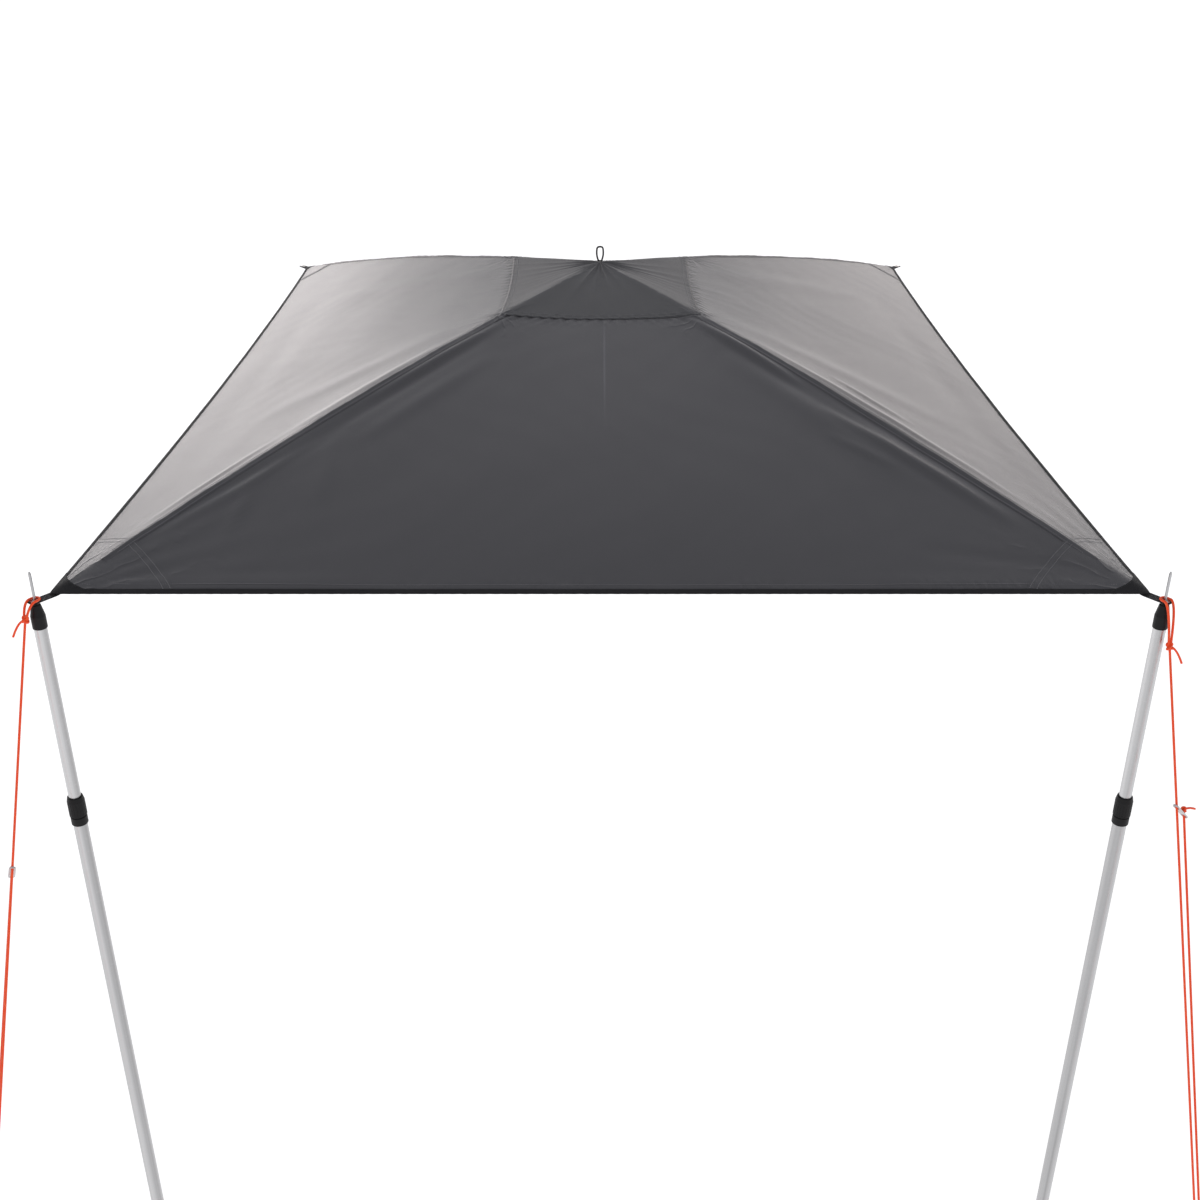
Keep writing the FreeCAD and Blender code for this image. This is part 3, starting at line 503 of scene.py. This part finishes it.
def mesh_piece(name, points, faces):
    mesh = bpy.data.meshes.new(name)
    mesh.from_pydata([tuple(p) for p in points], [], faces)
    mesh.validate()
    made = bpy.data.objects.new(name, mesh)
    bpy.context.scene.collection.objects.link(made)
    return made


def outwards(made):
    hold(made)
    bpy.ops.object.mode_set(mode="EDIT")
    bpy.ops.mesh.select_all(action="SELECT")
    bpy.ops.mesh.remove_doubles(threshold=1e-6)
    bpy.ops.mesh.normals_make_consistent(inside=False)
    bpy.ops.object.mode_set(mode="OBJECT")


def face_up(made):
    """Turns a sheet over if its faces look down, so that solidify thickens it downwards."""
    hold(made)
    if made.data.polygons[0].normal.z < 0:
        bpy.ops.object.mode_set(mode="EDIT")
        bpy.ops.mesh.select_all(action="SELECT")
        bpy.ops.mesh.flip_normals()
        bpy.ops.object.mode_set(mode="OBJECT")


def ring_sheet(name, low, high, rows, columns, above, power=1.0):
    """Cloth in rings round the peak, from one share of the way up to another, closed at the peak."""
    around = []
    for side, count, turn in (("front", columns[0], 1), ("right", columns[1], 1),
                              ("rear", columns[0], -1), ("left", columns[1], -1)):
        for i in range(count):
            t = 2 * i / count - 1
            around.append((side, turn * (0.6 * t + 0.4 * math.sin(math.pi / 2 * t))))
    points = []
    for row in range(rows):
        share = low + (high - low) * (row / rows) ** power
        for side, t in around:
            ex, ey = hem_place(side, t, 0)
            points.append((ex * (1 - share), ey * (1 - share)))
    points.append((0, 0))
    n = len(around)
    faces = [(r * n + i, r * n + (i + 1) % n, (r + 1) * n + (i + 1) % n, (r + 1) * n + i)
             for r in range(rows - 1) for i in range(n)]
    faces += [((rows - 1) * n + i, (rows - 1) * n + (i + 1) % n, rows * n) for i in range(n)]
    x, y = np.array(points).T
    return mesh_piece(name, on_roof(x, y, above), faces)


def curve_line(points, resolution=12):
    """Points read from the smooth line that a cord's own points steer."""
    curve = bpy.data.curves.new("line", "CURVE")
    curve.dimensions = "3D"
    curve.resolution_u = resolution
    spline = curve.splines.new("NURBS")
    spline.points.add(len(points) - 1)
    for point, co in zip(spline.points, points):
        point.co = (*co, 1)
    spline.order_u = 3
    spline.use_endpoint_u = True
    holder = bpy.data.objects.new("line", curve)
    bpy.context.scene.collection.objects.link(holder)
    bpy.context.view_layer.update()
    mesh = bpy.data.meshes.new_from_object(holder)
    line = [v.co.copy() for v in mesh.vertices]
    bpy.data.objects.remove(holder)
    bpy.data.meshes.remove(mesh)
    return line


def spaced(line, step):
    """The same line with points no further apart than step."""
    out = [line[0]]
    for a, b in zip(line, line[1:]):
        count = max(1, math.ceil((b - a).length / step))
        out += [a.lerp(b, i / count) for i in range(1, count + 1)]
    return out


def tubes(name, lines, sides=12, closed=False):
    """Round cords along lines, each (points, radius), with a map along and round them."""
    points, faces, maps = [], [], []
    for line, radius in lines:
        first = len(points)
        line = [Vector(p) for p in line]
        count = len(line)
        side, travelled, lengths = None, 0.0, []
        for i, here in enumerate(line):
            if closed:
                ahead = line[(i + 1) % count] - line[i - 1]
            else:
                ahead = line[min(i + 1, count - 1)] - line[max(i - 1, 0)]
            ahead.normalize()
            if side is None:
                side = ahead.orthogonal()
            side = (side - ahead * side.dot(ahead)).normalized()
            other = ahead.cross(side)
            travelled += (here - line[i - 1]).length if i else 0
            lengths.append(travelled)
            for k in range(sides):
                turn = math.tau * k / sides
                points.append(here + (side * math.cos(turn) + other * math.sin(turn)) * radius)
        rings = count if closed else count - 1
        for i in range(rings):
            for k in range(sides):
                a, b = first + i * sides, first + (i + 1) % count * sides
                faces.append((a + k, a + (k + 1) % sides, b + (k + 1) % sides, b + k))
                end = lengths[i + 1] if i + 1 < count else travelled + (line[0] - line[-1]).length
                maps += [(lengths[i], k / sides), (lengths[i], (k + 1) / sides),
                         (end, (k + 1) / sides), (end, k / sides)]
        if not closed:
            faces.append(tuple(first + k for k in reversed(range(sides))))
            faces.append(tuple(first + (count - 1) * sides + k for k in range(sides)))
            maps += [(0, k / sides) for k in range(sides)] + [(travelled, k / sides) for k in range(sides)]
    mesh = bpy.data.meshes.new(name)
    mesh.from_pydata([tuple(p) for p in points], [], faces)
    layer = mesh.uv_layers.new(name="UVMap")
    layer.data.foreach_set("uv", np.array(maps, np.float32).ravel())
    made = bpy.data.objects.new(name, mesh)
    bpy.context.scene.collection.objects.link(made)
    return made


def stitches(name, rows, pitch, long, wide, high, body, material, slot):
    """Rows of stitches that lie on the cloth: each row is a list of points."""
    points, faces = [], []
    for row in rows:
        row = [Vector(p) for p in row]
        due = pitch
        for a, b in zip(row, row[1:]):
            run = (b - a).length
            while due < run:
                at, ahead = a.lerp(b, due / run), (b - a).normalized()
                aside = ahead.cross(UP).normalized()
                above = aside.cross(ahead)
                first = len(points)
                for step, w, h in ((-0.5, 0, -0.2), (-0.22, 0.5, 0), (-0.22, 0, 1), (-0.22, -0.5, 0),
                                   (0.22, 0.5, 0), (0.22, 0, 1), (0.22, -0.5, 0), (0.5, 0, -0.2)):
                    points.append(at + ahead * (step * long) + aside * (w * wide) + above * (h * high))
                for face in ((0, 2, 1), (0, 3, 2), (1, 2, 5, 4), (2, 3, 6, 5), (7, 4, 5), (7, 5, 6),
                             (0, 1, 4, 7), (0, 7, 6, 3)):
                    faces.append(tuple(first + i for i in face))
                due += pitch
            due -= run
    made = mesh_piece(name, points, faces)
    outwards(made)
    return place(made, body, slot, material, angle=60)


# ---------------------------------------------------------------- canopy
canopy = ring_sheet("canopy_cloth", 0.0, 1.0, 94, (104, 128), -0.2 * MM, 0.95)
apply(canopy, "SOLIDIFY", thickness=0.7 * MM, offset=-1)
place(canopy, "canopy", "canopy_fabric", CLOTH,
      "front_panel", "rear_panel", "left_panel", "right_panel", angle=0)
hold(canopy)
bpy.ops.object.shade_smooth()

cap = ring_sheet("peak_cap_cloth", CAP_SHARE, 1.0, 44, (60, 72), 1.2 * MM)
apply(cap, "SOLIDIFY", thickness=0.8 * MM, offset=-1)
place(cap, "canopy", "canopy_fabric", CAP_CLOTH, "peak_cap", angle=0)
hold(cap)
bpy.ops.object.shade_smooth()


def corner_triangle(name, corner, leg, above, thick, inset, count=26, bulge=0.1):
    """A three-sided ply over one corner of the canopy."""
    sx, sy = CORNERS[corner]
    index, places, faces = {}, [], []
    for i in range(count + 1):
        for j in range(count + 1 - i):
            a, b = i / count, j / count
            swell = 1 + bulge * 4 * a * b
            index[i, j] = len(places)
            in_x, in_y = inset + a * leg * swell, inset + b * leg * swell
            bow = SIDE_BOW * (1 - (1 - in_y / HALF_DEPTH) ** 2) * (1 - a)
            places.append((sx * (HALF_WIDTH - in_x - bow), sy * (HALF_DEPTH - in_y)))
    for i in range(count):
        for j in range(count - i):
            faces.append((index[i, j], index[i + 1, j], index[i, j + 1]))
            if i + j < count - 1:
                faces.append((index[i + 1, j], index[i + 1, j + 1], index[i, j + 1]))
    x, y = np.array(places).T
    made = mesh_piece(name, on_roof(x, y, above), faces)
    outwards(made)
    face_up(made)
    apply(made, "SOLIDIFY", thickness=thick, offset=-1)
    return made


def corner_line(corner, leg, inset, back, above, count=60, bulge=0.1):
    """A line parallel to a corner ply's inner edge, back from it by some distance."""
    sx, sy = CORNERS[corner]
    leg = leg - back * 1.41
    places = []
    for i in range(count + 1):
        a = i / count
        b = 1 - a
        swell = 1 + bulge * 4 * a * b
        in_x, in_y = inset + a * leg * swell, inset + b * leg * swell
        bow = SIDE_BOW * (1 - (1 - in_y / HALF_DEPTH) ** 2) * (1 - a)
        places.append((sx * (HALF_WIDTH - in_x - bow), sy * (HALF_DEPTH - in_y)))
    x, y = np.array(places).T
    return on_roof(x, y, above)


seams, black_seams = [], []
for corner in CORNERS:
    patch = corner_triangle(f"{corner}_corner_cloth", corner, 0.255, 0.75 * MM, 0.6 * MM, 0.013)
    place(patch, "canopy", "canopy_fabric", CLOTH, f"{corner}_corner_patch", angle=50)
    for back in (5 * MM, 17 * MM):
        seams.append(corner_line(corner, 0.255, 0.013, back, 0.95 * MM))
    guard = corner_triangle(f"{corner}_corner_guard", corner, 0.098, 1.9 * MM, 0.9 * MM, 0.0, 16, -0.3)
    place(guard, "canopy", "webbing", WEBBING, angle=50)
    black_seams.append(corner_line(corner, 0.098, 0.0, 4 * MM, 2.1 * MM, 20, -0.3))


def hem_tape(side):
    """Tape folded over the hem, with small puckers from its sewing."""
    count = 300
    section = [(12.0, 0.55), (12.0, 1.15), (11.2, 1.3), (6.0, 1.15), (0.6, 1.2), (-0.5, 0.7), (-0.8, -0.3),
               (-0.5, -1.3), (0.6, -1.8), (6.0, -1.7), (11.2, -1.8), (12.0, -1.6), (12.0, -1.1),
               (1.0, -1.1), (0.6, -0.3), (1.0, 0.5)]
    points, faces = [], []
    for i in range(count + 1):
        t = 2 * i / count - 1
        pucker = 0.22 * math.sin(i * 1.9) * math.sin(i * 0.37 + 1)
        for depth, height in section:
            x, y = hem_place(side, t, depth * MM)
            out = on_roof(x, y)
            points.append((out[0], out[1], out[2] + (height + pucker) * MM))
    n = len(section)
    for i in range(count):
        for k in range(n):
            faces.append((i * n + k, i * n + (k + 1) % n, (i + 1) * n + (k + 1) % n, (i + 1) * n + k))
    faces += [tuple(range(n)), tuple(count * n + k for k in reversed(range(n)))]
    made = mesh_piece(f"{side}_hem_tape", points, faces)
    outwards(made)
    return place(made, "canopy", "binding_tape", TAPE, f"{side}_hem_binding", angle=40)


for side in ("front", "rear", "left", "right"):
    hem_tape(side)
    ts = np.linspace(-0.985, 0.985, 400)
    x, y = hem_place(side, ts, 9.3 * MM)
    black_seams.append(on_roof(x, y, 1.25 * MM))
    # the turned hem of the cloth itself, one row further in
    x, y = hem_place(side, ts * 0.99, 26 * MM)
    if side in ("front", "rear"):
        seams.append(on_roof(x, y, 0.1 * MM))


# millimetres across the hip towards the front or rear panel, and above the cloth
HIP_SECTION = [(-10, 0.2), (-9, 0.9), (-7, 1.3), (-5.5, 1.0), (-4, 1.4), (-1.5, 2.6), (1, 3.3),
               (3.5, 3.1), (6, 2.3), (9, 1.5), (12, 1.1), (15, 1.0), (16.5, 0.9), (17.5, 0.2)]


def hip_strip(corner):
    """The sewn-over allowance along a hip, which stands up unevenly where the cloth is taken in."""
    sx, sy = CORNERS[corner]
    count = 360
    length, ux, uy = hip_direction(corner)
    aside = (-sx * abs(uy), sy * abs(ux))
    places, heights, faces = [], [], []
    for i in range(count + 1):
        run = 0.085 + (length - 0.135 - 0.085) * i / count
        swell = (0.75 + 0.35 * math.sin(run * 9 + sx) + 0.2 * math.sin(run * 31 + sy)
                 + 0.08 * math.sin(run * 140))
        swell *= min(1, 0.35 + max(0, run - 0.42) * 6)
        for off, high in HIP_SECTION:
            places.append((ux * run + aside[0] * off * MM, uy * run + aside[1] * off * MM))
            heights.append((0.35 + (high - 0.2) * max(0.25, swell)) * MM)
    wide = len(HIP_SECTION)
    for i in range(count):
        for j in range(wide - 1):
            k = i * wide + j
            faces.append((k, k + 1, k + wide + 1, k + wide))
    x, y = np.array(places).T
    made = mesh_piece(f"{corner}_hip_seam", on_roof(x, y, np.array(heights)), faces)
    outwards(made)
    face_up(made)
    apply(made, "SOLIDIFY", thickness=0.6 * MM, offset=-1)
    rows = []
    for off, above in ((-7 * MM, 1.6 * MM), (12.5 * MM, 1.5 * MM)):
        runs = np.linspace(0.38, length - 0.17, 500)
        x, y = ux * runs + aside[0] * off, uy * runs + aside[1] * off
        rows.append(on_roof(x, y, above))
    return made, rows


for corner in CORNERS:
    strip, rows = hip_strip(corner)
    place(strip, "canopy", "canopy_fabric", CLOTH, angle=50)
    seams += rows

for back in (6 * MM, 18 * MM):
    for side in ("front", "right", "rear", "left"):
        ts = np.linspace(-1, 1, 120)
        ex, ey = hem_place(side, ts, 0)
        rest = 1 - CAP_SHARE - back / HALF_WIDTH
        seams.append(on_roof(ex * rest, ey * rest, 1.4 * MM))

stitches("seam_stitching", seams, 5.2 * MM, 4.1 * MM, 1.5 * MM, 0.8 * MM, "canopy", THREAD, "canopy_fabric")
stitches("tape_stitching", black_seams, 4.6 * MM, 3.4 * MM, 0.9 * MM, 0.45 * MM, "canopy", BLACK_THREAD,
         "binding_tape")


# ---------------------------------------------------------------- sleeves under the hips
def sleeve(corner):
    """A cloth tube under a hip that holds its rib, drawn in a little between its stitches."""
    sx, sy = CORNERS[corner]
    mesh = NODES["hip_sleeves"].data
    co = np.array([v.co for v in mesh.vertices])
    mine = co[(np.sign(co[:, 0]) == sx) & (np.sign(co[:, 1] + HALF_DEPTH) == sy)]
    length, ux, uy = hip_direction(corner)
    runs = mine[:, 0] * ux + (mine[:, 1] + HALF_DEPTH) * uy
    start, end = runs.min(), runs.max()
    # the middle of the tube, from the heights of its own wall
    fit = np.polyfit(runs, mine[:, 2], 2)
    line = []
    for i in range(241):
        run = start + 2 * MM + (end - start - 4 * MM) * i / 240
        line.append(Vector((ux * run, uy * run - HALF_DEPTH, np.polyval(fit, run))))
    points, faces, sides = [], [], 18
    aside = Vector((-uy, ux, 0))
    for i, here in enumerate(line):
        pinch = 0.25 * MM * math.sin(i * 0.9) + 0.2 * MM * math.sin(i * 0.31 + 1)
        for k in range(sides):
            turn = math.tau * k / sides
            radius = 8.7 * MM + pinch * math.sin(2 * turn + i * 0.2)
            points.append(here + aside * (math.cos(turn) * radius) + UP * (math.sin(turn) * radius))
    for i in range(len(line) - 1):
        for k in range(sides):
            a, b = i * sides, (i + 1) * sides
            faces.append((a + k, a + (k + 1) % sides, b + (k + 1) % sides, b + k))
    made = mesh_piece(f"{corner}_sleeve_cloth", points, faces)
    outwards(made)
    apply(made, "SOLIDIFY", thickness=0.6 * MM, offset=-1)
    return made


for number, corner in enumerate(CORNERS):
    made = sleeve(corner)
    place(made, "canopy", "canopy_fabric", CLOTH, *(["hip_sleeves"] if number == 0 else []), angle=60)


# ---------------------------------------------------------------- corner tabs
def webbing_tab(corner):
    """Webbing from under the corner out to its eyelet, with a rounded end and a hole for the eyelet."""
    sx, sy = CORNERS[corner]
    _, ux, uy = hip_direction(corner)
    along, aside = Vector((ux, uy, 0)), Vector((-uy, ux, 0))
    corner_at = Vector((sx * HALF_WIDTH, sy * HALF_DEPTH - HALF_DEPTH, 0))
    half, thick = 12.5 * MM, 1.1 * MM
    inner = half - 0.6 * MM
    section = [(-half, 0.45), (-inner, 0.95), (-half / 2, 1.0), (0, 1.02), (half / 2, 1.0), (inner, 0.95),
               (half, 0.45), (half, -0.45), (inner, -0.95), (half / 2, -1.0), (0, -1.02), (-half / 2, -1.0),
               (-inner, -0.95), (-half, -0.45)]
    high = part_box(f"{corner}_webbing_tab")[1]
    points, faces, count = [], [], 60
    for i in range(count + 1):
        run = TAB_ROOT + (TAB_REACH - TAB_ROOT) * i / count
        ease = min(1, max(0, (-run - 0.008) / 0.052))
        level = TAB_LEVEL + (high.z - 1.2 * MM - TAB_LEVEL) * ease * ease * (3 - 2 * ease)
        corner_round = min(1, (TAB_REACH - run) / (6 * MM))
        narrow = 1 - 0.25 * (1 - math.sqrt(max(0, 1 - (1 - corner_round) ** 2)))
        for wide, high_share in section:
            rise = UP * (level + high_share * thick)
            points.append(corner_at + along * run + aside * (wide * narrow) + rise)
    n = len(section)
    for i in range(count):
        for k in range(n):
            faces.append((i * n + k, i * n + (k + 1) % n, (i + 1) * n + (k + 1) % n, (i + 1) * n + k))
    faces += [tuple(range(n)), tuple(count * n + k for k in reversed(range(n)))]
    made = mesh_piece(f"{corner}_webbing", points, faces)
    outwards(made)
    deselect()
    eye = corner_at + along * EYE_REACH + UP * TAB_LEVEL
    bpy.ops.mesh.primitive_cylinder_add(vertices=48, radius=6.6 * MM, depth=20 * MM, location=eye)
    punch = bpy.context.object
    apply(made, "BOOLEAN", operation="DIFFERENCE", object=punch, solver="EXACT")
    bpy.data.objects.remove(punch)
    place(made, "canopy", "webbing", WEBBING, f"{corner}_webbing_tab", angle=40)
    # a box of stitches with a cross in it
    def sewn(a, b):
        return corner_at + along * a + aside * (b * TAB_STITCH_OFF) + UP * TAB_STITCH_LEVEL

    root, tip = 3 * MM, 22 * MM
    rows = [[sewn(root - 1 * MM, off), sewn(tip + 1 * MM, off)] for off in (-1, 1)]
    rows += [[sewn(run, -1), sewn(run, 1)] for run in (root, tip)]
    return rows + [[sewn(root, -1), sewn(tip, 1)], [sewn(tip, -1), sewn(root, 1)]]


box_rows = []
for corner in CORNERS:
    box_rows += webbing_tab(corner)
stitches("tab_stitching", box_rows, 3.2 * MM, 2.6 * MM, 0.9 * MM, 0.45 * MM, "canopy", THREAD, "webbing")


# ---------------------------------------------------------------- peak loop
def peak_cord():
    """The loop that stands on the peak, and the whipping round the axis that it flops about."""
    half = [(0.0045, 0), (0.0095, 0.0116), (0.010, 0.0316), (0.0078, 0.0421)]
    route = [Vector((-x, -HALF_DEPTH, LOOP_FOOT + z)) for x, z in half]
    route += [Vector((x, -HALF_DEPTH, LOOP_FOOT + z)) for x, z in reversed(half)]
    whip, steps = [], 160
    for i in range(steps + 1):
        turn = math.tau * 7 * i / steps
        whip.append(Vector(((-6.5 + 13 * i / steps) * MM, 1.75 * MM * math.cos(turn) - HALF_DEPTH,
                            LOOP_FOOT + 1.75 * MM * math.sin(turn))))
    made = tubes("peak_loop_cord", [(spaced(curve_line(route, 16), 1 * MM), 2.6 * MM), (whip, 0.75 * MM)], 10)
    place(made, "peak_loop", "black_cord", BLACK_CORD, "peak_loop", angle=60)


peak_cord()


# ---------------------------------------------------------------- guy ropes
# peg: out and forward from the spigot; away: that direction, as a unit vector.
# knot: distance from the spigot towards the peg, and level. runner: share of the way down the line.
# spread: which way the runner and the return hang.
GUYS = {
    "left": dict(sign=-1, peg=(0.310, -0.500), away=(-0.526940, -0.849902, 0),
                 knot=(0.032, -0.036), runner=0.288,
                 spread=(-0.35, 0.92, 0), lengths=(2.038, 1.424), loop=0.135),
    "right": dict(sign=1, peg=(0.280, -0.500), away=(0.488603, -0.872506, 0),
                  knot=(0.034, -0.100), runner=0.191,
                  spread=(0.87, 0.49, 0), lengths=(1.972, 1.567), loop=0.245),
}


def micron(*values):
    """A place, to the micrometre."""
    return Vector([round(value, 6) for value in values])


def knot_line(at, ahead, size, flat, turns=72):
    """The closed path of an overhand knot, pulled up tight."""
    side = ahead.orthogonal().normalized()
    other = ahead.cross(side)
    line = []
    for i in range(turns):
        t = math.tau * i / turns
        a, b = math.sin(t) + 2 * math.sin(2 * t), math.cos(t) - 2 * math.cos(2 * t)
        line.append(at + side * (a * size / 3) + ahead * (b * size / 3) - other * (math.sin(3 * t) * flat))
    return line


def rope_knot(name, at, ahead, size, flat, radius, extra):
    """A pulled-up knot and the strands that leave it, as one piece."""
    lump = tubes(name + "_lump", [(knot_line(at, ahead, size, flat), radius)], 12, closed=True)
    strands = tubes(name, extra, 12)
    deselect()
    lump.select_set(True)
    strands.select_set(True)
    bpy.context.view_layer.objects.active = strands
    bpy.ops.object.join()
    return strands


for side, guy in GUYS.items():
    _, ux, uy = hip_direction(f"front_{side}")
    x, y = guy["sign"] * HALF_WIDTH + ux * EYE_REACH, -2 * HALF_DEPTH + uy * EYE_REACH
    out, forward = guy["peg"]
    away, (ahead, below) = Vector(guy["away"]), guy["knot"]
    across = UP.cross(away)
    pin, peg = micron(x, y, 0), micron(x + guy["sign"] * out, y + forward, PEG_LEVEL)
    knot = micron(x + away.x * ahead, y + away.y * ahead, below)
    bend = 6.05 * MM
    turn = math.copysign(bend, across.dot(Vector(guy["spread"])))
    near, far = peg - across * turn, peg + across * turn
    down = (near - knot).normalized()
    start = knot + down * 7.5 * MM

    # the second point keeps the line straight almost to the peg, for the runner to slide on
    route = [start, near - down * 60 * MM, near + down * bend, far + down * bend, far]
    line = spaced(curve_line(route, 64), 4 * MM)
    guy_line = tubes(f"{side}_guy_rope", [(line, ROPE)], 14)
    place(guy_line, "canopy", "guy_rope", ORANGE_ROPE, f"{side}_guy_line", angle=60)

    spread = Vector(guy["spread"])
    spread = (spread - down * spread.dot(down)).normalized()
    hole = knot + down * ((near - knot).length * guy["runner"])
    along = spread * math.cos(RUNNER_TILT) + down * math.sin(RUNNER_TILT)
    second = hole + along * RUNNER_PITCH
    back = (far - second).normalized()
    end = second - back * 6.5 * MM
    way_up = spaced(curve_line([far, far.lerp(end, 0.4), far.lerp(end, 0.75), end], 48), 4 * MM)
    guy_return = tubes(f"{side}_return_rope", [(way_up, ROPE)], 14)
    place(guy_return, "canopy", "guy_rope", ORANGE_ROPE, f"{side}_guy_return", angle=60)

    # the loop over the spigot, the knot that closes it and its tail
    level = pin + UP * (-0.35 * MM)
    close, r = 3.05 * MM, 10 * MM
    loop = [knot + across * close, level + away * 22 * MM + across * r, level - away * r + across * r,
            level - away * r - across * r, level + away * 22 * MM - across * r, knot - across * close]
    aside = Vector((guy["sign"], 0, 0))
    tail = [knot, knot + aside * 16 * MM - UP * 3 * MM, knot + aside * 34 * MM - UP * 42 * MM]
    ring = spaced(curve_line(loop, 24), 1.5 * MM)
    loop_rope = tubes(f"{side}_guy_loop_rope", [(ring, ROPE)], 14)
    place(loop_rope, "canopy", "guy_rope", ORANGE_ROPE, f"{side}_guy_loop", angle=60)
    loop_knot = rope_knot(f"{side}_loop_knot", knot, down, 7.6 * MM, 4.2 * MM, 3.0 * MM,
                          [(spaced(curve_line(tail, 14), 1.5 * MM), TAIL)])
    place(loop_knot, "canopy", "guy_rope", ORANGE_ROPE, angle=60)

    stopper = second - back * 13.8 * MM
    end_tail = [stopper, stopper + spread * 16 * MM - down * 2 * MM,
                stopper + spread * 36 * MM + down * 9 * MM]
    knot_piece = rope_knot(
        f"{side}_stopper_rope", stopper, back, 5.8 * MM, 3.0 * MM, 2.5 * MM,
        [(spaced(curve_line(end_tail, 14), 1.5 * MM), TAIL),
         ([stopper, stopper + back * 5 * MM, stopper + back * 11 * MM], ROPE)])
    place(knot_piece, f"{side}_runner", "guy_rope", ORANGE_ROPE, f"{side}_stopper_knot", angle=60)

    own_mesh(guy_return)


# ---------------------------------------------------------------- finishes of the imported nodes
KEPT = {
    "rib": RODS, "rib_ferrules": FERRULE, "rib_tips": BLACK_PLASTIC, "peak_hub": BLACK_PLASTIC,
    "eyelet": NICKEL, "upper_tube": UPPER_ALLOY, "lower_tube": LOWER_ALLOY, "top_cap": BLACK_PLASTIC,
    "spigot": STEEL, "guide_plug": BLACK_PLASTIC, "collar": BLACK_PLASTIC, "grip_collet": BLACK_PLASTIC,
    "clamp_nut": BLACK_PLASTIC, "foot": RUBBER, "runner": RUNNER_ALLOY, "peg": STEEL,
}
for name, node in NODES.items():
    if node.hide_render:
        continue
    match = [key for key in KEPT if name == key or name.endswith("_" + key)]
    assert match, name
    node.data.materials.clear()
    node.data.materials.append(KEPT[max(match, key=len)])


# ---------------------------------------------------------------- floor, light and camera
GROUND = -2.0


def setting():
    """A pale floor, soft light that is strongest low at the sides, and the camera."""
    scene = bpy.context.scene
    scene.view_settings.view_transform = "Standard"
    deselect()
    bpy.ops.mesh.primitive_plane_add(size=160, location=(0, 20, GROUND - 0.5 * MM))
    floor = bpy.context.object
    floor.name = "floor"
    pale = bpy.data.materials.new("pale_floor")
    pale.use_nodes = True
    shader = pale.node_tree.nodes["Principled BSDF"]
    shader.inputs["Base Color"].default_value = (0.5, 0.5, 0.5, 1)
    shader.inputs["Roughness"].default_value = 0.9
    shader.inputs["Specular IOR Level"].default_value = 0
    shader.inputs["Emission Color"].default_value = (1, 1, 1, 1)
    shader.inputs["Emission Strength"].default_value = 0.78
    floor.data.materials.append(pale)

    world = bpy.data.worlds.new("studio")
    scene.world = world
    world.use_nodes = True
    tree = world.node_tree
    background = tree.nodes["Background"]
    where = tree.nodes.new("ShaderNodeTexCoord")
    split = tree.nodes.new("ShaderNodeSeparateXYZ")
    ramp = tree.nodes.new("ShaderNodeValToRGB")
    tree.links.new(where.outputs["Generated"], split.inputs[0])
    tree.links.new(split.outputs["Z"], ramp.inputs[0])
    tree.links.new(ramp.outputs[0], background.inputs["Color"])
    stops = [(0.0, (0.84, 0.82, 0.81)), (0.22, (0.78, 0.765, 0.765)),
             (0.5, (0.63, 0.635, 0.67)), (1.0, (0.60, 0.605, 0.64))]
    elements = ramp.color_ramp.elements
    while len(elements) < len(stops):
        elements.new(0.5)
    for element, (at, colour) in zip(elements, stops):
        element.position, element.color = at, (*colour, 1)
    background.inputs["Strength"].default_value = 1.0

    for name, at, aim, size, power, tint in (
            ("left_softbox", (-5.0, 6.6, 1.3), (-0.9, -1.5, 0.1), 4.4, 170, (1, 0.93, 0.915)),
            ("right_softbox", (4.6, 6.8, 1.35), (0.9, -1.5, 0.1), 4.6, 80, (1, 0.89, 0.855))):
        lamp = bpy.data.lights.new(name, "AREA")
        lamp.size, lamp.energy, lamp.color = size, power, tint
        holder = bpy.data.objects.new(name, lamp)
        holder.location = at
        holder.rotation_euler = (Vector(aim) - Vector(at)).to_track_quat("-Z", "Y").to_euler()
        holder.visible_camera = False
        scene.collection.objects.link(holder)

    camera = bpy.data.cameras.new("camera")
    camera.lens, camera.sensor_width = 41.82, 36
    camera.clip_end = 300
    holder = bpy.data.objects.new("camera", camera)
    holder.location = (0, -5.719, 1.3575)
    holder.rotation_euler = (math.radians(63.2), 0, 0)
    scene.collection.objects.link(holder)
    scene.camera = holder


setting()
deselect()
bpy.context.view_layer.update()
